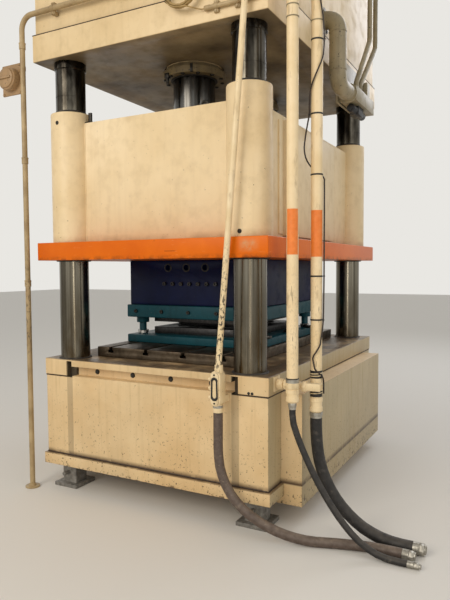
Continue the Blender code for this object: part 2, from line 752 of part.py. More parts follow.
def pocket_grid(low, high, count_x, count_y, rib):
    """Boxes that fill a space in rows and columns, with ribs of one thickness left between them."""
    size_x = (high[0] - low[0] - rib * (count_x - 1)) / count_x
    size_y = (high[1] - low[1] - rib * (count_y - 1)) / count_y
    boxes = []
    for i in range(count_x):
        for j in range(count_y):
            x = low[0] + i * (size_x + rib)
            y = low[1] + j * (size_y + rib)
            boxes.append(((x, y, low[2]), (x + size_x, y + size_y, high[2])))
    return boxes


def build_bed():
    """Welded bed: apron box, side blocks, base lip and the slotted top slab."""
    half_x, half_y = BED_HALF_X - APRON_SETBACK, BED_HALF_Y - APRON_SETBACK
    bed = block("bed_weldment", (-half_x, -half_y, FOOT_CLEARANCE),
                (half_x, half_y, BED_SHOULDER + OVERRUN))
    slab = block("bed_slab", (-BED_HALF_X, -BED_HALF_Y, BED_SHOULDER), (BED_HALF_X, BED_HALF_Y, BED_TOP))
    lip_x, lip_y = half_x + LIP_PROUD, half_y + LIP_PROUD
    lip = block("bed_lip", (-lip_x, -lip_y, FOOT_CLEARANCE - FIT),
                (lip_x, lip_y, FOOT_CLEARANCE + LIP_HEIGHT))
    side_x = BED_HALF_X + SIDE_BLOCK_PROUD
    sides = block("bed_side_blocks", (-side_x, -SIDE_BLOCK_HALF_Y, SIDE_BLOCK_LOW),
                  (side_x, SIDE_BLOCK_HALF_Y, BED_SHOULDER - SIDE_BLOCK_DROP))
    join(bed, bevel(slab, APRON_SETBACK / 2))
    join(bed, lip)
    join(bed, sides)

    slot_inner = SLOT_OUTER_X - SLOT_WIDTH
    recesses, slots = [], []
    for sign in (-1, 1):
        face = sign * (BED_HALF_Y + OVERRUN)
        recess_y = sorted((face, sign * (BED_HALF_Y - RECESS_DEPTH)))
        slot_y = sorted((face, sign * (BED_HALF_Y - SLOT_DEPTH)))
        recesses.append(((-slot_inner, recess_y[0], BED_SHOULDER),
                         (slot_inner, recess_y[1], BED_TOP - TABLE_EDGE)))
        for side in (-1, 1):
            slot_x = sorted((side * slot_inner, side * SLOT_OUTER_X))
            slots.append(((slot_x[0], slot_y[0], BED_SHOULDER - SLOT_ROOF),
                          (slot_x[1], slot_y[1], BED_TOP - SLOT_ROOF)))
    cut(bed, blocks("bed_recesses", recesses))
    cut(bed, blocks("bed_slots", slots))

    inner_x, inner_y = half_x - BED_WALL, half_y - BED_WALL
    deck_low = BED_TOP - BED_DECK
    pockets = pocket_grid((-inner_x, -inner_y, SIDE_BLOCK_LOW - OVERRUN), (inner_x, inner_y, deck_low),
                          BED_POCKET_COLUMNS, BED_POCKET_ROWS, BED_RIB)
    cut(bed, blocks("bed_pockets", pockets))
    cut(bed, rods("bed_nut_pockets", LOWER_NUT_R + NUT_POCKET_CLEARANCE,
                  FOOT_CLEARANCE + FOOT_PLATE_THICKNESS / 2, deck_low, BIG_SIDES, COLUMN_PLACES))
    cut(bed, rods("bed_bores", COLUMN_FOOT_R + FIT, deck_low - OVERRUN, BED_TOP + OVERRUN, BIG_SIDES,
                  COLUMN_PLACES))
    plates = []
    for sign_x, sign_y in CORNERS.values():
        outer_x, outer_y = sign_x * (half_x - FIT), sign_y * (half_y - FIT)
        near_x, near_y = outer_x - sign_x * FOOT_PLATE_SIZE_X, outer_y - sign_y * FOOT_PLATE_SIZE_Y
        plates.append(((min(outer_x, near_x), min(outer_y, near_y), FOOT_CLEARANCE),
                       (max(outer_x, near_x), max(outer_y, near_y), FOOT_CLEARANCE + FOOT_PLATE_THICKNESS)))
    join(bed, blocks("bed_foot_plates", plates))
    as_piece(bed, "cream_paint")


def build_pads():
    """Levelling pads: a base plate, a wedge block and its adjusting screw."""
    for corner, (sign_x, sign_y) in CORNERS.items():
        x, y = sign_x * (COLUMN_X + PAD_OUT_X), sign_y * (COLUMN_Y - PAD_IN_Y)
        pad = block(f"leveling_pad_{corner}", (x - PAD_BASE_HALF, y - PAD_BASE_HALF, 0),
                    (x + PAD_BASE_HALF, y + PAD_BASE_HALF, PAD_BASE_HEIGHT))
        body = block(f"pad_block_{corner}", (x - PAD_BLOCK_HALF, y - PAD_BLOCK_HALF, PAD_BASE_HEIGHT / 2),
                     (x + PAD_BLOCK_HALF, y + PAD_BLOCK_HALF, FOOT_CLEARANCE - 2 * FIT))
        join(pad, bevel(body, PAD_BEVEL))
        screw_z = PAD_BASE_HEIGHT + (FOOT_CLEARANCE - PAD_BASE_HEIGHT) * PAD_SCREW_HEIGHT_SHARE
        reach = PAD_BLOCK_HALF + PAD_SCREW_LENGTH
        screw = rod(f"pad_screw_{corner}", PAD_SCREW_R, 0, reach, HEX_SIDES)
        screw.rotation_euler = (math.radians(90 if sign_y < 0 else -90), 0, 0)
        screw.location = (x, y, screw_z)
        join(pad, screw)
        as_piece(pad, "cast_iron")


def build_columns():
    """Turned columns with their shouldered ends, and the nuts that hold bed and crown."""
    head_top = CROWN_TOP + UPPER_NUT_HEIGHT + THREAD_PROUD
    foot_low = BED_TOP - BED_DECK - LOWER_NUT_HEIGHT - THREAD_PROUD
    groove = CROWN_LOW - COLUMN_GROOVE_BELOW_CROWN
    chamfer = COLUMN_END_CHAMFER
    profile = [
        (0, head_top),
        (COLUMN_HEAD_R - chamfer, head_top),
        (COLUMN_HEAD_R, head_top - chamfer),
        (COLUMN_HEAD_R, CROWN_LOW - FIT),
        (COLUMN_COLLAR_R, CROWN_LOW - FIT),
        (COLUMN_COLLAR_R, CROWN_LOW - COLUMN_COLLAR_HEIGHT),
        (COLUMN_R, CROWN_LOW - COLUMN_COLLAR_HEIGHT),
        (COLUMN_R, groove + COLUMN_GROOVE_WIDTH),
        (COLUMN_R - COLUMN_GROOVE_DEPTH, groove + COLUMN_GROOVE_WIDTH),
        (COLUMN_R - COLUMN_GROOVE_DEPTH, groove),
        (COLUMN_R, groove),
        (COLUMN_R, BED_TOP + FIT),
        (COLUMN_FOOT_R, BED_TOP + FIT),
        (COLUMN_FOOT_R, foot_low + chamfer),
        (COLUMN_FOOT_R - chamfer, foot_low),
        (0, foot_low),
    ]
    for corner, at in zip(CORNERS, COLUMN_PLACES):
        as_piece(turned(f"column_{corner}", profile, BIG_SIDES, (*at, 0)), "polished_steel")
        nuts = (
            ("column_nut_upper", UPPER_NUT_R, COLUMN_HEAD_R, CROWN_TOP + FIT, UPPER_NUT_HEIGHT, 1),
            ("column_nut_lower", LOWER_NUT_R, COLUMN_FOOT_R, BED_TOP - BED_DECK - FIT, LOWER_NUT_HEIGHT, -1),
        )
        for name, outer, inner, seat, height, way in nuts:
            low, high = sorted((seat, seat + way * height))
            nut = rod(f"{name}_{corner}", outer, low, high, HEX_SIDES, at, NUT_CHAMFER)
            cut(nut, rod(f"{name}_bore_{corner}", inner + FIT, low - OVERRUN, high + OVERRUN, BIG_SIDES, at))
            as_piece(nut, "machined_steel")


def build_crown():
    """Crown: the thick base plate and the ribbed box on it, bored for columns and cylinders."""
    plate = block("crown_base_plate", (-CROWN_PLATE_HALF_X, -CROWN_PLATE_HALF_Y, CROWN_LOW),
                  (CROWN_PLATE_HALF_X, CROWN_PLATE_HALF_Y, CROWN_SEAM))
    bevel(plate, CROWN_PLATE_BEVEL)
    body = block("crown_body", (-CROWN_BODY_HALF_X, -CROWN_BODY_HALF_Y, CROWN_SEAM + FIT),
                 (CROWN_BODY_HALF_X, CROWN_BODY_HALF_Y, CROWN_TOP))
    bevel(body, CROWN_PLATE_BEVEL)
    low, high = CROWN_SEAM - OVERRUN, CROWN_TOP - CROWN_ROOF
    inner_x, inner_y = CROWN_BODY_HALF_X - CROWN_WALL, CROWN_BODY_HALF_Y - CROWN_WALL
    boxes = []
    for sign in (-1, 1):
        edges = sorted((sign * (CROWN_LANE_HALF_X + CROWN_RIB), sign * inner_x))
        reach_y = CROWN_BODY_HALF_Y - CROWN_CORNER_Y
        boxes += pocket_grid((edges[0], -reach_y, low), (edges[1], reach_y, high),
                             CROWN_POCKET_COLUMNS, CROWN_POCKET_ROWS, CROWN_RIB)
        near_y, far_y = sorted((sign * (reach_y + CROWN_RIB), sign * inner_y))
        half_x = CROWN_BODY_HALF_X - CROWN_CORNER_X
        boxes += pocket_grid((-half_x, near_y, low), (half_x, far_y, high), CROWN_END_POCKETS, 1, CROWN_RIB)
    cut(body, blocks("crown_pockets", boxes))
    hook_z = COIL_Z + COIL_R - COIL_SECTION_R - FIT - HOOK_R
    tip_y = COIL_Y - COIL_SECTION_R - HOOK_CLEAR
    hook_path = rounded_path([
        (COIL_X, -CROWN_BODY_HALF_Y + CROWN_WALL / 2, hook_z),
        (COIL_X, tip_y, hook_z),
        (COIL_X, tip_y, hook_z + HOOK_TIP_HEIGHT),
    ], HOOK_CLEAR)
    join(body, tube_mesh("cable_hook", hook_path, HOOK_R, HOSE_RESOLUTION))
    for target, foot, top in ((plate, CROWN_LOW, CROWN_SEAM), (body, CROWN_SEAM, CROWN_TOP)):
        cut(target, rods(f"{target.name}_bores", COLUMN_HEAD_R + FIT, foot - OVERRUN, top + OVERRUN,
                         BIG_SIDES, COLUMN_PLACES))
        cut(target, rods(f"{target.name}_cylinder_bores", BARREL_R + FIT, foot - OVERRUN, top + OVERRUN,
                         BIG_SIDES, CYLINDER_PLACES))
    as_piece(plate, "cream_paint")
    as_piece(body, "cream_paint")


def build_cylinders():
    """Each cylinder: closed barrel, gland ring, and the ram with its piston."""
    bore_top = BARREL_TOP - BARREL_END
    barrel_profile = [
        (0, BARREL_TOP),
        (BARREL_R - BARREL_DOME, BARREL_TOP),
        (BARREL_R, BARREL_TOP - BARREL_DOME),
        (BARREL_R, CROWN_TOP + BARREL_FLANGE_HEIGHT),
        (BARREL_FLANGE_R, CROWN_TOP + BARREL_FLANGE_HEIGHT),
        (BARREL_FLANGE_R, CROWN_TOP + FIT),
        (BARREL_R, CROWN_TOP + FIT),
        (BARREL_R, CROWN_LOW),
        (BARREL_BORE_R, CROWN_LOW),
        (BARREL_BORE_R, bore_top),
        (0, bore_top),
    ]
    ram_profile = [
        (0, PISTON_TOP),
        (BARREL_BORE_R - RUN, PISTON_TOP),
        (BARREL_BORE_R - RUN, PISTON_TOP - PISTON_HEIGHT),
        (RAM_R, PISTON_TOP - PISTON_HEIGHT),
        (RAM_R, SLIDE_TOP + RAM_FOOT_HEIGHT),
        (RAM_FOOT_R, SLIDE_TOP + RAM_FOOT_HEIGHT),
        (RAM_FOOT_R, SLIDE_TOP + FIT),
        (0, SLIDE_TOP + FIT),
    ]
    gland_low = CROWN_LOW - GLAND_HEIGHT
    gland_profile = [
        (GLAND_NECK_R, CROWN_LOW - FIT),
        (GLAND_NECK_R, gland_low + GLAND_RIM),
        (GLAND_R, gland_low + GLAND_RIM),
        (GLAND_R, gland_low),
        (RAM_R + RUN, gland_low),
        (RAM_R + RUN, CROWN_LOW - FIT),
    ]
    for end, at in zip(CYLINDERS, CYLINDER_PLACES):
        as_piece(turned(f"cylinder_barrel_{end}", barrel_profile, BIG_SIDES, (*at, 0)), "cast_iron")
        as_piece(turned(f"main_ram_{end}", ram_profile, BIG_SIDES, (*at, 0)), "polished_steel")
        gland = turned(f"gland_ring_{end}", gland_profile, BIG_SIDES, (*at, 0), closed=True)
        as_piece(gland, "cast_iron")


def build_slide():
    """Slide: ribbed box with four guide bosses, its orange plate and the bronze bushings."""
    body = block("slide_body", (-SLIDE_HALF_X, -SLIDE_HALF_Y, PLATE_TOP - OVERRUN / 2),
                 (SLIDE_HALF_X, SLIDE_HALF_Y, SLIDE_TOP))
    panel_x = SLIDE_HALF_X + SIDE_PANEL_PROUD
    panels = block("slide_side_panels", (-panel_x, -SIDE_PANEL_FRONT, PLATE_TOP + SIDE_PANEL_INSET_Z),
                   (panel_x, SIDE_PANEL_BACK, SLIDE_TOP - SIDE_PANEL_INSET_Z))
    join(body, panels)
    inner_x = COLUMN_X - BOSS_R - SLIDE_RIB / 2
    inner_y = SLIDE_HALF_Y - SLIDE_WALL
    bosses = rods("slide_bosses", BOSS_R, PLATE_TOP - OVERRUN, BOSS_TOP, BIG_SIDES, COLUMN_PLACES)
    join(body, bevel(bosses, BOSS_CHAMFER))
    cut(body, rods("slide_bores", BUSHING_R + FIT, PLATE_TOP - 2 * OVERRUN, BOSS_TOP + OVERRUN, BIG_SIDES,
                   COLUMN_PLACES))
    cut(body, block("slide_underside", (-PLATE_HALF_X, -PLATE_HALF_Y, PLATE_TOP - 2 * OVERRUN),
                    (PLATE_HALF_X, PLATE_HALF_Y, PLATE_TOP + FIT)))
    pockets = pocket_grid((-inner_x, -inner_y, PLATE_TOP - OVERRUN),
                          (inner_x, inner_y, SLIDE_TOP - SLIDE_DECK),
                          SLIDE_POCKET_COLUMNS, SLIDE_POCKET_ROWS, SLIDE_RIB)
    cut(body, blocks("slide_pockets", pockets))
    boss_front = COLUMN_Y + BOSS_R
    high_port, low_port = BOSS_TOP - PORT_BELOW_TOP, PLATE_TOP + PORT_ABOVE_PLATE
    for corner, (sign_x, sign_y) in CORNERS.items():
        port_z = low_port if corner == "front_right" else high_port
        port = rod(f"grease_port_{corner}", PORT_R, boss_front - PORT_DEPTH, boss_front + OVERRUN,
                   SMALL_SIDES)
        port.rotation_euler = (math.radians(-90 * sign_y), 0, 0)
        port.location = (sign_x * COLUMN_X, 0, port_z)
        cut(body, port)
    plate = block("slide_plate", (-PLATE_HALF_X, -PLATE_HALF_Y, PLATE_LOW),
                  (PLATE_HALF_X, PLATE_HALF_Y, PLATE_TOP))
    bevel(plate, PLATE_BEVEL)
    bushing_top = BOSS_TOP - BUSHING_TOP_SINK
    bushing_profile = [
        (WIPER_R, BOSS_TOP + WIPER_PROUD),
        (WIPER_R, bushing_top),
        (BUSHING_R, bushing_top),
        (BUSHING_R, PLATE_TOP + FIT),
        (COLUMN_R + RUN, PLATE_TOP + FIT),
        (COLUMN_R + RUN, BOSS_TOP + WIPER_PROUD),
    ]
    cut(plate, rods("plate_bores", COLUMN_R + PLATE_BORE_CLEARANCE, PLATE_LOW - OVERRUN, PLATE_TOP + OVERRUN,
                    BIG_SIDES, COLUMN_PLACES))
    for corner, at in zip(CORNERS, COLUMN_PLACES):
        bushing = turned(f"guide_bushing_{corner}", bushing_profile, BIG_SIDES, (*at, 0), closed=True)
        as_piece(bushing, "bronze")
    as_piece(body, "cream_paint")
    as_piece(plate, "orange_paint")


def build_bolster():
    """Bolster plate with T-slots from front to back."""
    plate = block("bolster_plate", (-BOLSTER_HALF_X, -BOLSTER_HALF_Y, BED_TOP + FIT),
                  (BOLSTER_HALF_X, BOLSTER_HALF_Y, BOLSTER_TOP - FIT))
    bevel(plate, BOLSTER_BEVEL)
    first = -BOLSTER_HALF_X + T_SLOT_EDGE
    spacing = -2 * first / (T_SLOTS - 1)
    depth = T_NECK_DEPTH + T_FOOT_DEPTH
    outline = [
        (-T_NECK_HALF, OVERRUN),
        (-T_NECK_HALF, -T_NECK_DEPTH),
        (-T_FOOT_HALF, -T_NECK_DEPTH),
        (-T_FOOT_HALF, -depth),
        (T_FOOT_HALF, -depth),
        (T_FOOT_HALF, -T_NECK_DEPTH),
        (T_NECK_HALF, -T_NECK_DEPTH),
        (T_NECK_HALF, OVERRUN),
    ]
    for number in range(T_SLOTS):
        slot = flat_outline(f"t_slot_{number}", outline, 2 * (BOLSTER_HALF_Y + OVERRUN),
                            (first + number * spacing, 0, BOLSTER_TOP), (math.radians(90), 0, 0))
        cut(plate, slot)
    as_piece(plate, "tool_steel")


def build_dies():
    """Die set: lower shoe with posts, die block, punch, upper shoe and the block over it."""
    lower = block("lower_die_shoe", (-SHOE_HALF_X, -SHOE_HALF_Y, BOLSTER_TOP),
                  (SHOE_HALF_X, SHOE_HALF_Y, SHOE_LOW_TOP))
    bevel(lower, SHOE_BEVEL)
    upper = block("upper_die_shoe", (-SHOE_HALF_X, -SHOE_HALF_Y, SHOE_UP_LOW),
                  (SHOE_HALF_X, SHOE_HALF_Y, SHOE_UP_TOP))
    bevel(upper, SHOE_BEVEL)
    places = [(sign_x * POST_X, sign_y * POST_Y) for sign_x, sign_y in CORNERS.values()]
    posts = rods("guide_posts", POST_R, SHOE_LOW_TOP - LOWER_SHOE_THICKNESS / 2, SHOE_UP_LOW + POST_ENTRY,
                 SMALL_SIDES, places)
    join(lower, bevel(posts, POST_CHAMFER))
    join(upper, rods("post_bosses", POST_BOSS_R, SHOE_UP_LOW - POST_BOSS_DROP,
                     SHOE_UP_LOW + UPPER_SHOE_THICKNESS / 2, SMALL_SIDES, places))
    cut(upper, rods("post_bores", POST_R + RUN, SHOE_UP_LOW - POST_BOSS_DROP - OVERRUN, SHOE_UP_TOP + OVERRUN,
                    SMALL_SIDES, places))
    as_piece(lower, "teal_paint")
    as_piece(upper, "teal_paint")

    die_top = SHOE_LOW_TOP + DIE_HEIGHT
    die = block("die_block", (-PUNCH_HALF_X, -PUNCH_HALF_Y, SHOE_LOW_TOP + FIT),
                (PUNCH_HALF_X, PUNCH_HALF_Y, die_top))
    cavity_outline = rounded_rectangle(NOSE_HALF_X + CAVITY_CLEARANCE, NOSE_HALF_Y + CAVITY_CLEARANCE,
                                       NOSE_CORNER_R + CAVITY_CLEARANCE)
    cavity_height = CAVITY_DEPTH + OVERRUN
    cut(die, flat_outline("die_cavity", cavity_outline, cavity_height,
                          (0, 0, die_top - CAVITY_DEPTH + cavity_height / 2)))
    punch_low = die_top + DIE_OPENING
    punch = block("punch", (-PUNCH_HALF_X, -PUNCH_HALF_Y, punch_low),
                  (PUNCH_HALF_X, PUNCH_HALF_Y, SHOE_UP_LOW - FIT))
    nose_outline = rounded_rectangle(NOSE_HALF_X, NOSE_HALF_Y, NOSE_CORNER_R)
    nose_height = NOSE_HEIGHT + OVERRUN
    join(punch, flat_outline("punch_nose", nose_outline, nose_height,
                             (0, 0, punch_low - NOSE_HEIGHT + nose_height / 2)))
    as_piece(die, "tool_steel")
    as_piece(punch, "tool_steel")

    top = block("upper_die_block", (-BLOCK_HALF_X, -BLOCK_HALF_Y, SHOE_UP_TOP + FIT),
                (BLOCK_HALF_X, BLOCK_HALF_Y, PLATE_LOW - FIT))
    bevel(top, BLOCK_BEVEL)
    for number in range(LIFT_HOLES):
        x = LIFT_HOLE_OFFSET_X + (number - (LIFT_HOLES - 1) / 2) * LIFT_HOLE_SPACING
        hole = rod(f"lift_hole_{number}", LIFT_HOLE_R, -OVERRUN, LIFT_HOLE_DEPTH, SMALL_SIDES)
        lay_along(hole, "Y", (x, -BLOCK_HALF_Y, PLATE_LOW - LIFT_HOLE_BELOW_TOP))
        cut(top, hole)
    as_piece(top, "navy_paint")


def build_leaning_conduit():
    """Leaning conduit on the front, with the pull box that it ends in."""
    path = rounded_path([
        (CONDUIT_A_TOP_X, -CROWN_BODY_HALF_Y - FIT, CONDUIT_A_TOP_Z),
        (CONDUIT_A_TOP_X, CONDUIT_A_Y, CONDUIT_A_TOP_Z),
        (CONDUIT_A_LOW_X, CONDUIT_A_Y, CONDUIT_A_END_Z + CONDUIT_A_STRAIGHT),
        (CONDUIT_A_LOW_X, CONDUIT_A_Y, CONDUIT_A_END_Z + FIT),
    ], CONDUIT_A_BEND_R)
    as_piece(tube("conduit_leaning", path, CONDUIT_A_R, PIPE_RESOLUTION), "cream_paint")

    middle = (PULL_BOX_X, CONDUIT_A_Y, PULL_BOX_LOW + PULL_BOX_HEIGHT / 2)
    half_width, half_height = PULL_BOX_WIDTH / 2, PULL_BOX_HEIGHT / 2
    outline = rounded_rectangle(half_width, half_height, half_width * PULL_BOX_ROUND_SHARE)
    box = flat_outline("pull_box", outline, PULL_BOX_DEPTH, middle, (math.radians(90), 0, 0))
    shrink = PULL_BOX_COVER_SHRINK
    cover_y = CONDUIT_A_Y - PULL_BOX_DEPTH / 2
    cover_width = half_width - shrink
    outline = rounded_rectangle(cover_width, half_height - shrink, cover_width * PULL_BOX_ROUND_SHARE)
    cover = flat_outline("pull_box_cover", outline, 2 * PULL_BOX_COVER_PROUD,
                         (PULL_BOX_X, cover_y, middle[2]), (math.radians(90), 0, 0))
    join(box, cover)
    hub_x = CONDUIT_A_LOW_X
    join(box, rod("pull_box_hub", HUB_R, PULL_BOX_TOP - OVERRUN, CONDUIT_A_END_Z, SMALL_SIDES,
                  (hub_x, CONDUIT_A_Y)))
    join(box, rod("pull_box_nut", GLAND_NUT_R, HOSE_A_START_Z, PULL_BOX_LOW + OVERRUN, SMALL_SIDES,
                  (PULL_BOX_X, CONDUIT_A_Y), CONNECTOR_STEP / 2))
    for number, share in enumerate(NIPPLE_SHARES):
        nipple = rod(f"pull_box_nipple_{number}", NIPPLE_R, 0, half_width + NIPPLE_LENGTH, SMALL_SIDES)
        nipple.rotation_euler = (0, math.radians(-90), 0)
        nipple.location = (PULL_BOX_X, CONDUIT_A_Y, PULL_BOX_LOW + PULL_BOX_HEIGHT * share)
        join(box, nipple)
    foot_face = -(BED_HALF_Y - APRON_SETBACK) - FIT
    foot_high = BED_SHOULDER - APRON_SETBACK
    join(box, block("pull_box_foot", (PULL_BOX_X - BOX_FOOT_WIDTH / 2, CONDUIT_A_Y, PULL_BOX_LOW + HUB_R / 2),
                    (PULL_BOX_X + BOX_FOOT_WIDTH / 2, foot_face, foot_high)))
    as_piece(box, "cream_paint")


def build_risers():
    """The two riser conduits, their couplings, and the strut with its pipe clamps."""
    risers = (
        ("front", RISER_B_X, RISER_B_Y, RISER_B_END_Z, COUPLING_B_HEIGHT, NUT_B_R, NUT_B_HEIGHT, RISER_TOP_Z),
        ("rear", RISER_C_X, RISER_C_Y, RISER_C_END_Z, COUPLING_C_HEIGHT, NUT_C_R, NUT_C_HEIGHT,
         RISER_TOP_Z + RISER_R),
    )
    strut_z = BED_TOP - STRUT_BELOW_BED_TOP
    strut_y = (RISER_B_Y + RISER_R + RISER_C_Y - RISER_R) / 2
    end_x = RISER_C_X + STRUT_PAST_RISER
    strut = block("riser_strut", (BED_HALF_X + FIT, strut_y - STRUT_HALF, strut_z - STRUT_HALF),
                  (end_x, strut_y + STRUT_HALF, strut_z + STRUT_HALF))
    plate = block("strut_plate", (BED_HALF_X + FIT, strut_y - STRUT_PLATE_HALF, strut_z - STRUT_PLATE_HALF),
                  (BED_HALF_X + FIT + STRUT_PLATE_THICKNESS, strut_y + STRUT_PLATE_HALF,
                   strut_z + STRUT_PLATE_HALF))
    join(strut, plate)
    channel_half = STRUT_HALF - STRUT_WALL
    cut(strut, block("strut_channel", (BED_HALF_X + FIT + 2 * STRUT_PLATE_THICKNESS, strut_y - channel_half,
                                       strut_z - STRUT_HALF - OVERRUN),
                     (end_x + OVERRUN, strut_y + channel_half, strut_z + STRUT_HALF - STRUT_WALL)))
    for name, x, y, end_z, height, nut_r, nut_height, top_z in risers:
        path = rounded_path([(x, y, end_z + FIT), (x, y, top_z), (CROWN_BODY_HALF_X + FIT, y, top_z)],
                            RISER_BEND_R)
        as_piece(tube(f"riser_conduit_{name}", path, RISER_R, PIPE_RESOLUTION), "cream_paint")
        neck_top = end_z - COUPLING_BAND
        coupling_low = end_z - height
        profile = [
            (0, end_z),
            (COUPLING_R, end_z),
            (COUPLING_R, neck_top),
            (COUPLING_NECK_R, neck_top),
            (COUPLING_NECK_R, neck_top - COUPLING_GROOVE),
            (COUPLING_R, neck_top - COUPLING_GROOVE),
            (COUPLING_R, coupling_low),
            (nut_r, coupling_low),
            (nut_r, coupling_low - nut_height),
            (0, coupling_low - nut_height),
        ]
        as_piece(turned(f"riser_coupling_{name}", profile, SMALL_SIDES, (x, y, 0)), "zinc_fitting")
        clamp_low = strut_z - CLAMP_HEIGHT / 2
        clamp_high = strut_z + CLAMP_HEIGHT / 2
        if name == "front":
            clamp_low = end_z + COUPLING_GROOVE
            clamp_high = clamp_low + CLAMP_HEIGHT
        clamp = ring(f"riser_clamp_{name}", RISER_R + CLAMP_WALL, clear_of(RISER_R), clamp_low, clamp_high,
                     BIG_SIDES, (x, y))
        join(strut, clamp)
        way = 1 if y > strut_y else -1
        lug_y = sorted((strut_y + way * (STRUT_HALF - STRUT_WALL / 2), y - way * (RISER_R + CLAMP_WALL / 2)))
        lug_low = max(strut_z - STRUT_HALF / 2, clamp_low)
        join(strut, block(f"riser_lug_{name}", (x - CLAMP_HEIGHT / 2, lug_y[0], lug_low),
                          (x + CLAMP_HEIGHT / 2, lug_y[1], strut_z + STRUT_HALF / 2)))
    as_piece(strut, "zinc_fitting")


def build_crown_conduits():
    """Conduit runs on the crown's front, the floor flange, the junction box and the cable coil."""
    path = rounded_path([
        (RUN_START_X, RUN_Y, RUN_Z),
        (DROP_X, RUN_Y, RUN_Z),
        (DROP_X, RUN_Y, FLOOR_FLANGE_HEIGHT / 2),
    ], DROP_BEND_R)
    run = tube_mesh("crown_conduit_left", path, RUN_R, PIPE_RESOLUTION)
    join(run, rod("floor_flange", FLOOR_FLANGE_R, 0, FLOOR_FLANGE_HEIGHT, SMALL_SIDES, (DROP_X, RUN_Y)))
    end = rod("run_end_fitting", RUN_END_R, 0, RUN_END_LENGTH, SMALL_SIDES)
    join(run, lay_along(end, "X", (RUN_START_X - RUN_END_LENGTH / 2, RUN_Y, RUN_Z)))
    for number, x in enumerate(RUN_CLAMPS_X):
        low_z, high_z = RUN_Z - RUN_R * RUN_CLAMP_SHARES[0], RUN_Z + RUN_R * RUN_CLAMP_SHARES[1]
        join(run, block(f"run_clamp_{number}", (x - RUN_CLAMP_WIDTH / 2, RUN_Y, low_z),
                        (x + RUN_CLAMP_WIDTH / 2, -CROWN_BODY_HALF_Y - FIT, high_z)))
    as_piece(run, "cream_paint")

    box_x = DROP_X - JUNCTION_OUT_X
    half_x, half_z = JUNCTION_PLATE_HALF_X, JUNCTION_PLATE_HALF_Z
    box = block("junction_box", (box_x - half_x, RUN_Y, JUNCTION_Z - half_z),
                (box_x + half_x, RUN_Y + JUNCTION_PLATE_THICKNESS, JUNCTION_Z + half_z))
    for name, radius, front in (("junction_can", JUNCTION_R, JUNCTION_DEPTH),
                                ("junction_lid", JUNCTION_LID_R, JUNCTION_DEPTH + JUNCTION_LID_PROUD)):
        can = rod(name, radius, -front, JUNCTION_PLATE_THICKNESS / 2, BIG_SIDES)
        join(box, lay_along(can, "Y", (box_x, RUN_Y, JUNCTION_Z)))
    strap_z = JUNCTION_Z + half_z * JUNCTION_STRAP_SHARE
    strap = ring("junction_strap", RUN_R + CLAMP_WALL, clear_of(RUN_R), strap_z - CLAMP_HEIGHT / 2,
                 strap_z + CLAMP_HEIGHT / 2, BIG_SIDES, (DROP_X, RUN_Y))
    join(box, strap)
    join(box, block("junction_arm", (box_x, RUN_Y, strap_z - CLAMP_HEIGHT / 2),
                    (DROP_X - RUN_R - CLAMP_WALL / 2, RUN_Y + JUNCTION_PLATE_THICKNESS,
                     strap_z + CLAMP_HEIGHT / 2)))
    as_piece(box, "cream_paint")

    path = rounded_path([
        (SHORT_RUN_START_X, SHORT_RUN_Y, SHORT_RUN_Z),
        (SHORT_RUN_END_X, SHORT_RUN_Y, SHORT_RUN_Z),
        (SHORT_RUN_END_X, SHORT_RUN_Y, SHORT_RUN_Z + SHORT_RUN_RISE),
    ], SHORT_RUN_BEND_R)
    short = tube_mesh("crown_conduit_right", path, SHORT_RUN_R, PIPE_RESOLUTION)
    clamp_foot = SHORT_RUN_R * SHORT_CLAMP_SHARES[0]
    clamp_head = SHORT_RUN_R * SHORT_CLAMP_SHARES[1]
    for number, x in enumerate(SHORT_RUN_CLAMPS_X):
        join(short, block(f"short_run_clamp_{number}",
                          (x - RUN_CLAMP_WIDTH / 2, SHORT_RUN_Y, SHORT_RUN_Z - clamp_foot),
                          (x + RUN_CLAMP_WIDTH / 2, -CROWN_PLATE_HALF_Y - FIT, SHORT_RUN_Z + clamp_head)))
    fitting = rod("short_run_fitting", SHORT_END_R, 0, RUN_END_LENGTH, SMALL_SIDES)
    join(short, lay_along(fitting, "X", (SHORT_RUN_START_X - RUN_END_LENGTH / 2, SHORT_RUN_Y, SHORT_RUN_Z)))
    top_z = SHORT_RUN_Z + SHORT_RUN_RISE
    join(short, block("short_run_box", (SHORT_RUN_END_X - SHORT_BOX_HALF, SHORT_RUN_Y - SHORT_BOX_HALF,
                                        top_z - SHORT_BOX_HALF),
                      (SHORT_RUN_END_X + SHORT_BOX_HALF, -CROWN_BODY_HALF_Y - FIT, top_z + SHORT_BOX_HALF)))
    as_piece(short, "zinc_fitting")


def build_cable_coil():
    """Coil of spare cable on a hook, as one ring of its outer shape."""
    section = []
    for i in range(SMALL_SIDES // 2):
        angle = -2 * math.pi * i / (SMALL_SIDES // 2)
        section.append((COIL_R + COIL_SECTION_R * math.cos(angle), COIL_SECTION_R * math.sin(angle)))
    coil = turned("cable_coil", section, BIG_SIDES, closed=True)
    lay_along(coil, "Y", (COIL_X, COIL_Y, COIL_Z))
    as_piece(coil, "black_rubber")


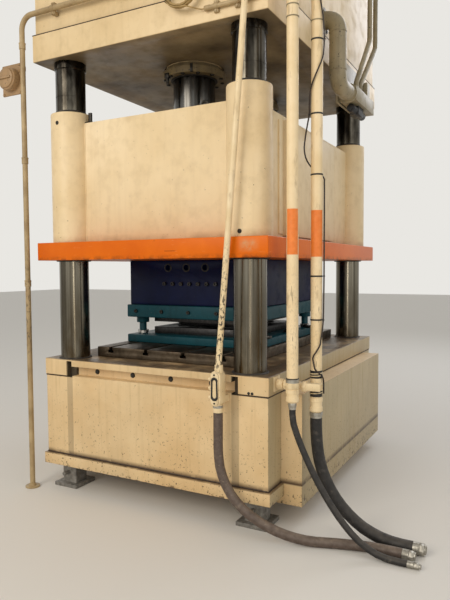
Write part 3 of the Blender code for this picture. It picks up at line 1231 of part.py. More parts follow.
def build_oil_unit():
    """Oil manifold with its valve, the suction pipe and the two pressure tubes."""
    low_x, high_x = MANIFOLD_X - MANIFOLD_HALF_X, MANIFOLD_X + MANIFOLD_HALF_X
    manifold = block("manifold_block", (low_x, MANIFOLD_FRONT_Y, MANIFOLD_LOW),
                     (high_x, MANIFOLD_BACK_Y, MANIFOLD_TOP))
    hanger_x = CROWN_PLATE_HALF_X + FIT
    hanger = block("manifold_hanger", (hanger_x, MANIFOLD_FRONT_Y, MANIFOLD_LOW),
                   (hanger_x + HANGER_THICKNESS, MANIFOLD_BACK_Y, MANIFOLD_LOW + HANGER_HEIGHT))
    spacer = block("manifold_spacer", (hanger_x + HANGER_THICKNESS / 2, MANIFOLD_FRONT_Y + HANGER_THICKNESS,
                                       MANIFOLD_LOW + HANGER_THICKNESS),
                   (MANIFOLD_X, MANIFOLD_BACK_Y - HANGER_THICKNESS, MANIFOLD_TOP - HANGER_THICKNESS))
    join(manifold, hanger)
    join(manifold, spacer)
    stack_y = MANIFOLD_BACK_Y - STACK_LENGTH
    stack = block("valve_stack", (MANIFOLD_X - STACK_HALF_X, stack_y, MANIFOLD_TOP - OVERRUN),
                  (MANIFOLD_X + STACK_HALF_X, MANIFOLD_BACK_Y - HANGER_THICKNESS,
                   MANIFOLD_TOP + STACK_HEIGHT))
    join(manifold, stack)
    as_piece(manifold, "cast_iron")

    valve_top = MANIFOLD_LOW - FIT
    valve_z = valve_top - VALVE_HEIGHT / 2
    valve = block("solenoid_valve",
                  (MANIFOLD_X - VALVE_HALF_X, VALVE_Y - VALVE_LENGTH / 2, valve_top - VALVE_HEIGHT),
                  (MANIFOLD_X + VALVE_HALF_X, VALVE_Y + VALVE_LENGTH / 2, valve_top))
    coil_reach = VALVE_LENGTH / 2 + VALVE_COIL_LENGTH
    coils = rod("valve_coils", VALVE_COIL_R, -coil_reach, coil_reach, SMALL_SIDES)
    coil_z = valve_z - (VALVE_COIL_R - VALVE_HEIGHT / 2) - FIT
    join(valve, lay_along(coils, "Y", (MANIFOLD_X, VALVE_Y, coil_z)))
    cap_reach = coil_reach + VALVE_CAP_LENGTH
    caps = rod("valve_caps", VALVE_CAP_R, -cap_reach, cap_reach, SMALL_SIDES)
    join(valve, lay_along(caps, "Y", (MANIFOLD_X, VALVE_Y, coil_z)))
    as_piece(valve, "blue_black_plastic")

    middle_z = MANIFOLD_LOW + MANIFOLD_HEIGHT / 2
    path = rounded_path([
        (CROWN_BODY_HALF_X + SUCTION_FLANGE_THICKNESS / 2, SUCTION_Y, SUCTION_TOP_Z),
        (MANIFOLD_X, SUCTION_Y, SUCTION_TOP_Z),
        (MANIFOLD_X, SUCTION_Y, middle_z),
        (MANIFOLD_X, MANIFOLD_FRONT_Y - SUCTION_FLANGE_THICKNESS / 2, middle_z),
    ], SUCTION_BEND_R)
    pipe = tube_mesh("suction_pipe", path, SUCTION_R, PIPE_RESOLUTION + 1)
    for name, axis, place in (
        ("suction_flange_crown", "X", (CROWN_BODY_HALF_X + FIT, SUCTION_Y, SUCTION_TOP_Z)),
        ("suction_flange_block", "Y",
         (MANIFOLD_X, MANIFOLD_FRONT_Y - FIT - SUCTION_FLANGE_THICKNESS, middle_z)),
    ):
        radius = SUCTION_FLANGE_R if axis == "X" else MANIFOLD_HALF_X + SUCTION_FLANGE_THICKNESS / 2
        flange = rod(name, radius, 0, SUCTION_FLANGE_THICKNESS, BIG_SIDES)
        join(pipe, lay_along(flange, axis, place))
    as_piece(pipe, "cast_iron")

    top_z = CROWN_TOP + TUBE_OVER_CROWN
    for end, start_y, knee_y in zip(CYLINDERS, TUBE_STARTS_Y, TUBE_KNEES_Y):
        sign = CYLINDERS[end]
        cylinder_y = sign * CYLINDER_Y
        path = rounded_path([
            (MANIFOLD_X, start_y, MANIFOLD_TOP + FIT),
            (MANIFOLD_X, start_y, MANIFOLD_TOP + TUBE_LIFT),
            (MANIFOLD_X, knee_y, TUBE_KNEE_Z),
            (MANIFOLD_X, knee_y, top_z),
            (CROWN_BODY_HALF_X / 2, cylinder_y, top_z),
            (BARREL_R + FIT, cylinder_y, top_z),
        ], TUBE_BEND_R)
        as_piece(tube(f"pressure_tube_{end}", path, TUBE_R, PIPE_RESOLUTION - 1), "machined_steel")


def build_signal_cable():
    """Thin cable strapped along the rear riser, from the crown's side to the coupling."""
    beside = RISER_R + CLAMP_WALL + FIT + SIGNAL_R
    path = []
    for i in range(SIGNAL_POINTS):
        share = i / (SIGNAL_POINTS - 1)
        angle = math.radians(SIGNAL_SIDE + SIGNAL_SWING * math.sin(2 * math.pi * SIGNAL_TURNS * share))
        path.append((RISER_C_X + beside * math.cos(angle), RISER_C_Y + beside * math.sin(angle),
                     SIGNAL_TOP_Z + (SIGNAL_LOW_Z - SIGNAL_TOP_Z) * share))
    as_piece(tube("signal_cable", path, SIGNAL_R, HOSE_RESOLUTION), "black_rubber")


def build_hoses():
    """Three hoses from the conduits to the floor, each with the connector on its far end."""
    for name, route, radius in (
        ("leaning", HOSE_A_ROUTE, HOSE_A_R),
        ("front", HOSE_B_ROUTE, HOSE_B_R),
        ("rear", HOSE_C_ROUTE, HOSE_C_R),
    ):
        path = smooth_path(route, 2 * radius * HOSE_STEP_DIAMETERS)
        as_piece(tube(f"hose_{name}", path, radius, HOSE_RESOLUTION), "black_rubber")
        nut_length = CONNECTOR_LENGTH * CONNECTOR_NUT_SHARE
        profile = [
            (0, CONNECTOR_LENGTH),
            (radius - CONNECTOR_STEP, CONNECTOR_LENGTH),
            (radius - CONNECTOR_STEP, nut_length),
            (radius, nut_length),
            (radius, 0),
            (0, 0),
        ]
        connector = turned(f"hose_connector_{name}", profile, SMALL_SIDES)
        end_x, end_y, end_z = route[-1]
        lay_along(connector, "X", (end_x + FIT, end_y, end_z))
        as_piece(connector, "zinc_fitting")


PIECES, CUTTERS, CENTRE = start_scene()
build_bed()
build_pads()
build_columns()
build_crown()
build_cylinders()
build_slide()
build_bolster()
build_dies()
build_leaning_conduit()
build_risers()
build_crown_conduits()
build_cable_coil()
build_oil_unit()
build_signal_cable()
build_hoses()
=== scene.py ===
import json
import math

import bpy
from mathutils import Matrix, Vector

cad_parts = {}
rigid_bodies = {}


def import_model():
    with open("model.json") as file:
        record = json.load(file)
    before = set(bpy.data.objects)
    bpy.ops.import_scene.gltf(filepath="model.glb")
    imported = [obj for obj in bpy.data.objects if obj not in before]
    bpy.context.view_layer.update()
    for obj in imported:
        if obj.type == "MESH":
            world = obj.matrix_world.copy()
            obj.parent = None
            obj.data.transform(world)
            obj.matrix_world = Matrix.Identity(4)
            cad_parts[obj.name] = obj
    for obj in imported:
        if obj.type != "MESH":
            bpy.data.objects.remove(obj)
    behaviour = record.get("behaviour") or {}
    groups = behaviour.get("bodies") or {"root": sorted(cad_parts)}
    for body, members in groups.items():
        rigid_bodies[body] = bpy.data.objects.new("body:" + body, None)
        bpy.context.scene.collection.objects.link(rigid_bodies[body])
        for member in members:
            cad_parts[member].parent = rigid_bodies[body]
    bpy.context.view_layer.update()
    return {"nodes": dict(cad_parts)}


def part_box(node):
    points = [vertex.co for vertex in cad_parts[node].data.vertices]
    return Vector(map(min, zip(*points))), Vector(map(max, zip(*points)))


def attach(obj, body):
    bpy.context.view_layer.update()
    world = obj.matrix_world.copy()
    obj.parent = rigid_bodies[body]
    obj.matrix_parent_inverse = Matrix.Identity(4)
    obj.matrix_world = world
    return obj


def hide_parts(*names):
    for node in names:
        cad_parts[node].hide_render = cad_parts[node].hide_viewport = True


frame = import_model()

# Places below are measured from the middle of the four columns; the frame's origin lies this far in front of it
SHIFT_Y = 0.047

# The four columns and the two cylinders
COLUMN_X = 0.690
COLUMN_Y = 1.012
COLUMN_R = 0.1015
COLUMN_FOOT_R = 0.064
COLUMN_HEAD_R = 0.080
COLUMN_COLLAR_R = 0.1075
GROOVE_Z = 2.7265
GROOVE_WIDTH = 0.006
GROOVE_DEPTH = 0.003
CYLINDER_Y = 0.49
RAM_R = 0.15
RAM_FOOT_R = 0.20
RAM_FOOT_HEIGHT = 0.06
GLAND_R = 0.2225
GLAND_NECK_R = 0.196
GLAND_LOW = 2.887
GLAND_BOLTS = 12
GLAND_BOLT_CIRCLE_R = 0.2085
BARREL_R = 0.21
BARREL_FLANGE_R = 0.265
BARREL_DOME = 0.03

# Heights of the main seats
BED_SHOULDER = 0.810
BED_TOP = 0.922
SHOE_LOW_TOP = 1.053
SHOE_UP_LOW = 1.184
PLATE_LOW = 1.6085
PLATE_TOP = 1.7301
SLIDE_TOP = 2.5451
BOSS_TOP = 2.6121
CROWN_LOW = 2.9615
CROWN_SEAM = 3.1415
CROWN_TOP = 3.8615
PORT_HIGH_Z = 2.5391
PORT_LOW_Z = 1.7611

# Faces that details sit on
BED_FRONT = 1.1335
WALL_FRONT = 1.1275
WALL_SIDE = 0.8575
SLOT_SIDE = 0.667
LEDGE = 0.248
CROWN_PLATE_FRONT = 1.171
CROWN_STANDOFF = 0.0447
CROWN_PLATE_SIDE = 0.881
SLIDE_FRONT = 1.030
SLIDE_SIDE = 0.708
BOSS_R = 0.1375
BUSHING_R = 0.119
WIPER_R = 0.112
BORE_R = 0.1022
BLOCK_FRONT = 0.570
SHOE_FRONT = 0.600
SHOE_SIDE = 0.547

# Tops and radii that follow from these: painted shells stand 0.8 mm proud of the slide's bosses
COLLAR_LOW = CROWN_LOW - 0.05
GLAND_RIM_TOP = GLAND_LOW + 0.05
FLANGE_TOP = CROWN_TOP + 0.05
RAM_FOOT_TOP = SLIDE_TOP + RAM_FOOT_HEIGHT
SHELL_R = BOSS_R + 0.0008
SHELL_TOP = BOSS_TOP + 0.0008

# The conduits: the risers, with the radius of rings just clear of them, the crown's two runs, and the suction pipe
FRONT_RISER = (0.995, -1.100)
REAR_RISER = (1.085, -0.955)
RISER_R = 0.0333
RING_R = 0.0334
STRUT_Y = -1.0275
STRUT_Z = 0.872
SIGNAL_R = 0.0045
RUN_R = 0.018
RUN_Y = -1.201
RUN_Z = 3.270
DROP_X = -0.945
SHORT_R = 0.0135
SHORT_Y = -1.187
SHORT_Z = 3.032
PIPE_X = 0.975
PIPE_Y = -0.22

# Which side and which face each corner and each cylinder stands on
CORNERS = {"front_left": (-1, -1), "front_right": (1, -1), "back_left": (-1, 1), "back_right": (1, 1)}
CYLINDERS = {"front": -1, "back": 1}

# Sides of turned pieces
FINE_SIDES = 96
ROUND_SIDES = 48
SMALL_SIDES = 24
HEX_SIDES = 6

# The hoses: radius, and a route through the points of the part's own solids
HOSES = {
    "leaning": (0.028, (
        (0.581, -1.221, 0.7117), (0.581, -1.221, 0.675), (0.581, -1.222, 0.590), (0.583, -1.225, 0.490),
        (0.598, -1.228, 0.380), (0.648, -1.230, 0.270), (0.730, -1.228, 0.180), (0.845, -1.215, 0.108),
        (0.975, -1.190, 0.058), (1.110, -1.150, 0.031), (1.260, -1.100, 0.0285), (1.410, -1.062, 0.0285),
        (1.530, -1.052, 0.0285), (1.600, -1.052, 0.0285),
    )),
    "front": (0.0185, (
        (0.995, -1.100, 0.7477), (0.995, -1.100, 0.718), (1.001, -1.101, 0.670), (1.035, -1.104, 0.580),
        (1.098, -1.109, 0.450), (1.175, -1.115, 0.320), (1.268, -1.122, 0.195), (1.365, -1.128, 0.098),
        (1.455, -1.132, 0.043), (1.530, -1.132, 0.023), (1.590, -1.132, 0.019), (1.640, -1.132, 0.019),
    )),
    "rear": (0.0345, (
        (1.085, -0.955, 0.6777), (1.085, -0.955, 0.640), (1.088, -0.955, 0.570), (1.097, -0.956, 0.480),
        (1.120, -0.958, 0.385), (1.168, -0.961, 0.280), (1.245, -0.964, 0.180), (1.345, -0.967, 0.100),
        (1.440, -0.969, 0.058), (1.520, -0.970, 0.040), (1.580, -0.970, 0.035), (1.640, -0.970, 0.035),
    )),
}


def linear(hex_colour):
    """An sRGB hex colour as linear red, green and blue with full alpha."""
    channels = [int(hex_colour[start:start + 2], 16) / 255 for start in (1, 3, 5)]
    return (*(c / 12.92 if c <= 0.04045 else ((c + 0.055) / 1.055) ** 2.4 for c in channels), 1.0)


def add(tree, kind, settings=None, links=None):
    """Adds a shader node with its settings, and links its inputs to outputs of other nodes."""
    node = tree.nodes.new("ShaderNode" + kind)
    for name, value in (settings or {}).items():
        if name in node.inputs:
            node.inputs[name].default_value = value
        else:
            setattr(node, name, value)
    for name, source in (links or {}).items():
        tree.links.new(source, node.inputs[name])
    return node


class Finish:
    """A procedural material on Object coordinates, whose colour is built up in layers."""

    def __init__(self, name):
        self.material = bpy.data.materials.new(name)
        self.material.use_nodes = True
        self.tree = self.material.node_tree
        self.tree.nodes.clear()
        self.shader = add(self.tree, "BsdfPrincipled")
        add(self.tree, "OutputMaterial", links={"Surface": self.shader.outputs[0]})
        self.place = add(self.tree, "TexCoord").outputs["Object"]

    def graded(self, factor, low, high):
        """A number that runs from low to high with a factor."""
        return add(self.tree, "MapRange", {"To Min": low, "To Max": high}, {"Value": factor}).outputs[0]

    def spots(self, size, low, high, stretch=(1, 1, 1), detail=4, offset=0.0):
        """Soft-edged spots about size metres across: 0 where the noise is under low and 1 over high."""
        moved = add(self.tree, "Mapping", {"Scale": stretch, "Location": (offset,) * 3}, {"Vector": self.place})
        noise = add(self.tree, "TexNoise", {"Scale": 1 / size, "Detail": detail, "Roughness": 0.6},
                    {"Vector": moved.outputs[0]})
        return add(self.tree, "MapRange", {"From Min": low, "From Max": high}, {"Value": noise.outputs[0]}).outputs[0]

    def along(self, axis, start, end):
        """A ramp along an axis: 0 at start and 1 at end, in metres."""
        way = add(self.tree, "SeparateXYZ", links={"Vector": self.place}).outputs[axis]
        return add(self.tree, "MapRange", {"From Min": start, "From Max": end}, {"Value": way}).outputs[0]

    def facing(self, axis, start, end):
        """A ramp on how far a surface faces along an axis."""
        normal = add(self.tree, "NewGeometry").outputs["Normal"]
        way = add(self.tree, "SeparateXYZ", links={"Vector": normal}).outputs[axis]
        return add(self.tree, "MapRange", {"From Min": start, "From Max": end}, {"Value": way}).outputs[0]

    def both(self, *factors):
        """The product of factors, which may be sockets or numbers."""
        result = factors[0]
        for factor in factors[1:]:
            product = add(self.tree, "Math", {"operation": "MULTIPLY"}, {0: result})
            if isinstance(factor, (int, float)):
                product.inputs[1].default_value = factor
            else:
                self.tree.links.new(factor, product.inputs[1])
            result = product.outputs[0]
        return result

    def feed(self, name, source):
        """Links one of the shader's inputs, in place of what fed it before."""
        self.tree.links.new(source, self.shader.inputs[name])

    def base(self, tone, other, factor):
        """Starts the colour with two tones, mixed by a factor."""
        mixed = add(self.tree, "MixRGB", {"Color1": linear(tone), "Color2": linear(other)}, {"Fac": factor})
        self.colour = mixed.outputs[0]

    def layer(self, tone, *factors):
        """Lays a tone over the colour by the product of the factors."""
        self.colour = add(self.tree, "MixRGB", {"Color2": linear(tone)},
                          {"Fac": self.both(*factors), "Color1": self.colour}).outputs[0]
        self.feed("Base Color", self.colour)

    def wear(self, tone, width, sharp, size, low, high):
        """Wears sharp edges, where the rounded normal turns away from the true one, through to a tone in spots."""
        rounded = add(self.tree, "Bevel", {"samples": 6, "Radius": width}).outputs["Normal"]
        true = add(self.tree, "NewGeometry").outputs["Normal"]
        dot = add(self.tree, "VectorMath", {"operation": "DOT_PRODUCT"}, {0: rounded, 1: true}).outputs["Value"]
        edge = add(self.tree, "MapRange", {"From Min": 0.97, "From Max": sharp}, {"Value": dot}).outputs[0]
        self.layer(tone, edge, self.spots(size, low, high, offset=9.4), 0.9)

    def rough(self, factor, low, high):
        """Lets the roughness run from low to high with a factor."""
        self.feed("Roughness", self.graded(factor, low, high))

    def roughen(self, factor, depth):
        """Bump from a factor, with its depth in metres."""
        self.feed("Normal", add(self.tree, "Bump", {"Strength": 1.0, "Distance": depth}, {"Height": factor}).outputs[0])


def enamel(name, tone, other, grime, chip, chips=0.66, streaks=0.5, low_dirt=None, underside_shade=0.0, gloss=0.42, shine=0.5):
    """Sprayed alkyd enamel on welded steel: orange peel, long drips of grime, specks, chipped edges, and painted shade
    on what faces down when asked for.
    """
    look = Finish(name)
    look.base(tone, other, look.spots(0.55, 0.35, 0.68))
    drips = look.spots(0.30, 0.50, 0.78, stretch=(7, 7, 0.45), offset=3.1)
    look.layer(grime, drips, streaks)
    haze = look.spots(0.09, 0.48, 0.80, detail=8, offset=7.7)
    look.layer(grime, haze, 0.30)
    if low_dirt:
        height, band = low_dirt
        low = look.along("Z", height + band, height)
        look.layer(grime, low, look.spots(0.12, 0.30, 0.62, offset=1.3), 0.75)
    if underside_shade:
        # Painted shade: what faces down is laid over with dark brown, standing in for the shade underneath
        down = look.facing("Z", -0.6, -0.95)
        look.layer("#4A3C29", down, look.graded(look.spots(0.5, 0.3, 0.7, offset=2.7), underside_shade, 1.0))
    specks = look.spots(0.014, chips, chips + 0.03, detail=2, offset=5.2)
    look.layer(chip, specks, 0.85)
    look.wear(chip, 0.006, 0.72, 0.035, 0.46, 0.60)
    look.rough(haze, gloss, gloss + 0.25)
    # Orange peel about 4 mm wide, drawn 0.15 mm deep
    look.roughen(look.spots(0.004, 0.2, 0.8, detail=1), 0.00015)
    look.shader.inputs["Specular IOR Level"].default_value = shine
    return look.material


def chipped_bed_enamel():
    """The bed's enamel: chips that grow denser to the floor, brown, dried dirt on the ledge, a greasy top, and painted
    shade on its right side and in its clamp slots.
    """
    look = Finish("chipped_bed_enamel")
    look.base("#E2C698", "#D3B382", look.spots(0.40, 0.35, 0.65))
    cool = look.spots(0.9, 0.45, 0.70, offset=2.2)
    look.layer("#B3A88C", cool, 0.30)
    # The faces that look to the right get an olive-grey tone: painted shade, for the shade on that side
    side = look.facing("X", 0.6, 0.95)
    look.layer("#8D876B", side, 0.55)
    drips = look.spots(0.22, 0.52, 0.78, stretch=(8, 8, 0.4), offset=3.1)
    look.layer("#8A7047", drips, 0.22)
    low = look.along("Z", 0.85, 0.18)
    few = look.spots(0.022, 0.690, 0.705, detail=3, offset=5.2)
    many = look.spots(0.014, 0.648, 0.662, detail=3, offset=6.1)
    look.layer("#3C2B1A", few, look.graded(low, 0.35, 1.0))
    look.layer("#493420", many, low, 0.95)
    # The lip's top carries sludge at 0.248 m, and its lower edge is chipped to bare, rusty steel
    ledge = look.both(look.along("Z", 0.242, 0.250), look.along("Z", 0.285, 0.256))
    look.layer("#4B341F", ledge, look.spots(0.10, 0.25, 0.50, offset=4.0), 0.95)
    foot = look.along("Z", 0.205, 0.175)
    look.layer("#4A3523", foot, look.spots(0.030, 0.57, 0.62, offset=8.0), 0.9)
    # Painted shade: the two clamp slots beside the table's edge are laid near black inside, for the shade in them
    for near, far in ((0.621, SLOT_SIDE), (-SLOT_SIDE, -0.621)):
        slot = look.both(look.along("X", near - 0.003, near - 0.0005), look.along("X", far + 0.003, far + 0.0005),
                         look.along("Y", -1.084, -1.074), look.along("Z", 0.916, 0.912))
        look.layer("#1D1712", slot, look.along("Y", -0.95, -1.0), 0.92)
    top = look.along("Z", 0.917, 0.921)
    look.layer("#4A3B2A", top, look.spots(0.20, 0.20, 0.50, offset=1.0), 0.9)
    look.wear("#2F251C", 0.008, 0.70, 0.040, 0.40, 0.55)
    look.rough(drips, 0.42, 0.62)
    depth = add(look.tree, "Math", {"operation": "SUBTRACT"}, {0: look.spots(0.006, 0.2, 0.8, detail=1), 1: many})
    look.roughen(depth.outputs[0], 0.0003)
    return look.material


def scuffed_conduit_enamel(name, tone, other, rubbed, marked):
    """Brushed enamel on steel conduit: black rub marks, densest at hand height, and stains at its joints."""
    look = Finish(name)
    look.base(tone, other, look.spots(0.15, 0.35, 0.65))
    hand = look.both(look.along("Z", 0.93, 1.00), look.along("Z", 1.75, 1.35))
    marks = look.spots(0.012, 0.545, 0.575, stretch=(1, 1, 0.55), detail=5, offset=5.5)
    look.layer("#1E1A17", marks, hand, marked)
    few = look.spots(0.012, 0.680, 0.700, stretch=(1, 1, 0.45), detail=4, offset=1.5)
    look.layer("#3B3128", few, marked)
    scrapes = look.spots(0.030, 0.665, 0.685, stretch=(1.6, 1.6, 0.22), detail=2, offset=6.6)
    look.layer("#6B5A40", scrapes, hand, 0.6)
    rubs = look.spots(0.050, 0.58, 0.68, stretch=(1, 1, 0.3), offset=2.5)
    look.layer("#8E7450", rubs, rubbed)
    look.shader.inputs["Roughness"].default_value = 0.45
    look.roughen(look.spots(0.010, 0.2, 0.8), 0.0002)
    return look.material


def scratched_orange_enamel():
    """Orange safety enamel, with rubbed patches, fine scratches and grease along its lower edge."""
    look = Finish("scratched_orange_enamel")
    look.base("#E06E06", "#D46204", look.spots(0.35, 0.35, 0.65))
    scratches = look.spots(0.050, 0.715, 0.730, stretch=(0.7, 0.7, 12), detail=2, offset=1.7)
    look.layer("#F2B277", scratches, 0.5)
    rubbed = look.spots(0.060, 0.66, 0.74, detail=6, offset=8.8)
    look.layer("#9C4E14", rubbed, 0.5)
    # One long scratch and one patch rubbed pale, both on the front
    front = look.along("Y", -1.0, -1.1)
    scratch = look.both(front, look.along("X", 0.18, 0.19), look.along("X", 0.27, 0.255),
                        look.along("Z", 1.6530, 1.6545), look.along("Z", 1.6580, 1.6565))
    look.layer("#6B3510", scratch, 0.85)
    patch = look.both(front, look.along("X", 0.69, 0.73), look.along("X", 0.83, 0.78),
                      look.along("Z", 1.635, 1.665), look.along("Z", 1.725, 1.695))
    look.layer("#C79A6E", patch, look.spots(0.05, 0.3, 0.6, offset=6.0), 0.75)
    low = look.along("Z", PLATE_LOW + 0.030, PLATE_LOW)
    look.layer("#5E3414", low, look.spots(0.05, 0.40, 0.65, offset=3.0), 0.8)
    look.wear("#3B2A1E", 0.005, 0.72, 0.030, 0.46, 0.60)
    look.rough(rubbed, 0.36, 0.60)
    look.roughen(look.spots(0.004, 0.2, 0.8, detail=1), 0.00015)
    look.shader.inputs["Specular IOR Level"].default_value = 0.18
    return look.material


def plated_bar(name, tone, film, low, low_end, high_end, high):
    """Hard-chromed, ground steel bar: long streaks left by the wipers, smears of oil near both ends, and a painted dark
    reflection near the top, where the oil is burnt black.
    """
    look = Finish(name)
    lines = look.spots(0.22, 0.35, 0.65, stretch=(9, 9, 0.12), detail=6)
    look.base(tone, film, look.both(lines, 0.75))
    smears = look.spots(0.09, 0.35, 0.65, (1.4, 1.4, 0.5), offset=2.0)
    look.layer("#4A3C26", look.along("Z", low_end, low), smears, 0.75)
    # Painted reflection: the top is laid near black, for the dark surroundings the chrome mirrors there; the smears
    # over it are burnt oil
    dark_reflection_and_burnt_oil = look.along("Z", high_end, high)
    look.layer("#1B1A1D", dark_reflection_and_burnt_oil, 0.55)
    look.layer("#14110E", dark_reflection_and_burnt_oil, smears, 0.95)
    look.shader.inputs["Metallic"].default_value = 1.0
    look.rough(lines, 0.13, 0.30)
    look.roughen(lines, 0.00004)
    return look.material


def metal(name, tone, other, rough, grain=0.02, dirt="#2A241D", dirty=0.35, metallic=1.0):
    """Bare or plated metal with uneven tone, its surface worn smooth in places, and dirt in the rest."""
    look = Finish(name)
    cloud = look.spots(grain, 0.35, 0.65)
    look.base(tone, other, cloud)
    soil = look.spots(grain * 3, 0.50, 0.72, detail=6, offset=4.4)
    look.layer(dirt, soil, dirty)
    look.feed("Metallic", look.graded(soil, metallic, metallic * (1 - dirty)))
    look.rough(cloud, rough, rough + 0.16)
    look.roughen(look.spots(grain / 6, 0.2, 0.8), 0.00012)
    return look.material


def dull(name, tone, other, rough, grain=0.03, dust="#8B8072", dusty=0.25, depth=0.0002):
    """Rubber, vinyl or moulded plastic: uneven tone and dust that lies on what faces up."""
    look = Finish(name)
    cloud = look.spots(grain, 0.35, 0.65, detail=6)
    look.base(tone, other, cloud)
    settled = look.both(look.facing("Z", 0.1, 0.9), look.spots(grain * 2, 0.30, 0.60, offset=3.3))
    look.layer(dust, settled, dusty)
    look.layer(dust, look.spots(grain, 0.56, 0.70, offset=6.3), dusty)
    look.rough(cloud, rough, rough + 0.15)
    look.roughen(look.spots(grain / 8, 0.2, 0.8), depth)
    return look.material


MATERIALS = {
    # Cream enamel sprayed on welded steel: warm and satin, streaked by drips, with painted shade in brown underneath
    "crown": enamel("sprayed_cream_enamel", "#E3CBA0", "#D6BC8E", "#9A835A", "#5A452E", chips=0.74, streaks=0.14,
                    underside_shade=0.55),
    "slide": enamel("oil_stained_cream_enamel", "#EAD4AC", "#E0C79A", "#A88E66", "#5A4630", chips=0.73, streaks=0.12,
                    low_dirt=(PLATE_TOP, 0.05), underside_shade=0.4),
    # The same kind of enamel aged by heat, oil and hands: tanned on boxes, grey or olive on pipes, and sooty on glands,
    # which are also painted darker as shade
    "box": enamel("yellowed_tan_enamel", "#B0906A", "#94754F", "#7B613C", "#3A2C1E", chips=0.66, streaks=0.4),
    "gland": enamel("sooty_and_shade_darkened_tan_enamel", "#80704E", "#62543A", "#3A2F1F", "#1E1811", chips=0.63, streaks=0.6),
    "oil_pipe": enamel("dusty_grey_cream_enamel", "#A3977A", "#84785B", "#574B34", "#2E271D", chips=0.66, streaks=0.5),
    "dirty": enamel("grimy_olive_enamel", "#A79A78", "#85785A", "#4F4532", "#2B2419", chips=0.62, streaks=0.7),
    # Nearer the floor and in reach of hands, enamel is chipped to dark steel, or rubbed black and brown
    "bed": chipped_bed_enamel(),
    "conduit": scuffed_conduit_enamel("scuffed_conduit_enamel", "#EAD6B0", "#DCC497", 0.35, 0.95),
    "riser": scuffed_conduit_enamel("stained_riser_enamel", "#EED8B0", "#E4CB9E", 0.40, 0.14),
    # Painted shade: the crown's runs take this enamel in a darker, greyer tone, for the shade they hang in
    "run": scuffed_conduit_enamel("shade_darkened_run_enamel", "#B29C74", "#937C56", 0.75, 0.60),
    # Safety orange and the die set's two blues: smooth and even, and worn through along their edges
    "orange": scratched_orange_enamel(),
    "navy": enamel("navy_blue_enamel", "#0B1640", "#081028", "#050818", "#3A3E4C", chips=0.70, streaks=0.3,
                   gloss=0.40, shine=0.18),
    "teal": enamel("teal_machine_enamel", "#0F4A55", "#0B3A43", "#07191C", "#4F5C5A", chips=0.68, streaks=0.3,
                   gloss=0.40, shine=0.22),
    # Hard chrome over ground bar: a dark mirror drawn out in long streaks, with a painted dark reflection at its top
    "column": plated_bar("hard_chromed_column_steel", "#8E887A", "#2A2419", 0.95, 1.5, 2.50, 2.72),
    "ram": plated_bar("hard_chromed_ram_steel", "#6A6966", "#2C2822", 2.55, 2.62, 2.70, 2.95),
    # Bare steel and iron: satin from the cutter, bright from the grinding wheel, brown where oil has dried
    "machined": metal("oiled_machined_steel", "#8C8A86", "#6E6B66", 0.30),
    "table": metal("oiled_bolster_steel", "#6B5F50", "#4A4034", 0.34, grain=0.05, dirt="#3A2C1C", dirty=0.7),
    "tool": metal("ground_tool_steel", "#4C4B4B", "#3A3939", 0.34, dirty=0.5),
    "bright": metal("bright_ground_steel", "#C9C8C4", "#A9A8A4", 0.24, dirty=0.2),
    "pad": metal("bare_grey_iron", "#8D8A84", "#6D6A64", 0.48, grain=0.03, dirty=0.3, metallic=0.5),
    # Bearing bronze is dull gold, zinc plate a clouded pale grey, and black oxide nearly black
    "bronze": metal("machined_bearing_bronze", "#A07A42", "#7E5C2E", 0.32),
    "zinc": metal("dull_zinc_plate", "#B7B3A9", "#9A968C", 0.36, dirty=0.3, metallic=0.85),
    "bolt": metal("black_oxide_bolt_steel", "#4A4846", "#35332F", 0.36, grain=0.01, dirty=0.3),
    # Vinyl, rubber, cotton, nylon and moulded plastic: broad, soft highlights, and dust on what faces up
    "vinyl": dull("orange_vinyl_band", "#EE8434", "#E37727", 0.42, dust="#C9A27A", dusty=0.18),
    "hose": dull("brown_grey_vinyl_jacket", "#5E5047", "#4A3D35", 0.50, dust="#9A8A78", dusty=0.35),
    "black_hose": dull("dusty_black_rubber", "#211E1C", "#171514", 0.55, dust="#6F665B", dusty=0.30),
    "cable": dull("tan_cable_jacket", "#AF925C", "#8F7443", 0.50, dust="#C2B292", dusty=0.2),
    "cord": dull("cream_cotton_cord", "#DCCBA6", "#BCA67C", 0.70, grain=0.01, dusty=0.2),
    "thin_cable": dull("brown_cable_jacket", "#33241A", "#241A13", 0.50, dust="#6B5A48", dusty=0.2),
    "tie": dull("black_nylon_tie", "#141414", "#0E0E0E", 0.45, dusty=0.1),
    "gasket": dull("black_nitrile_gasket", "#181614", "#100F0E", 0.6, dusty=0.15),
    "coil": dull("black_moulded_coil_cover", "#15171D", "#0F1116", 0.40, dusty=0.25),
    # Coolant and dirt dried to a brown crust: lumpy and dull; it also serves as painted shadow in seams
    "sludge_and_shadow": dull("dried_brown_crust_and_painted_shadow", "#3D2A18", "#2A1D11", 0.60, grain=0.02, dusty=0.2, depth=0.001),
}


def take(piece):
    """Selects one object alone, or nothing."""
    bpy.ops.object.select_all(action="DESELECT")
    if piece:
        piece.select_set(True)
        bpy.context.view_layer.objects.active = piece


def put(piece, place=(0, 0, 0), turn=(0, 0, 0)):
    """Turns a piece about the origin, in degrees, moves it, and keeps both in its mesh."""
    take(piece)
    bpy.ops.object.transform_apply()
    piece.rotation_euler = [math.radians(angle) for angle in turn]
    piece.location = place
    bpy.ops.object.transform_apply()
    return piece


def settle(piece, material, body="frame", shift=SHIFT_Y):
    """Moves a piece to the frame's origin, gives it its finish, and lets it ride on a body."""
    take(piece)
    piece.location.y += shift
    bpy.ops.object.transform_apply()
    bpy.ops.object.shade_smooth_by_angle(angle=math.radians(35))
    piece.data.materials.clear()
    piece.data.materials.append(MATERIALS[material])
    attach(piece, body)
    return piece


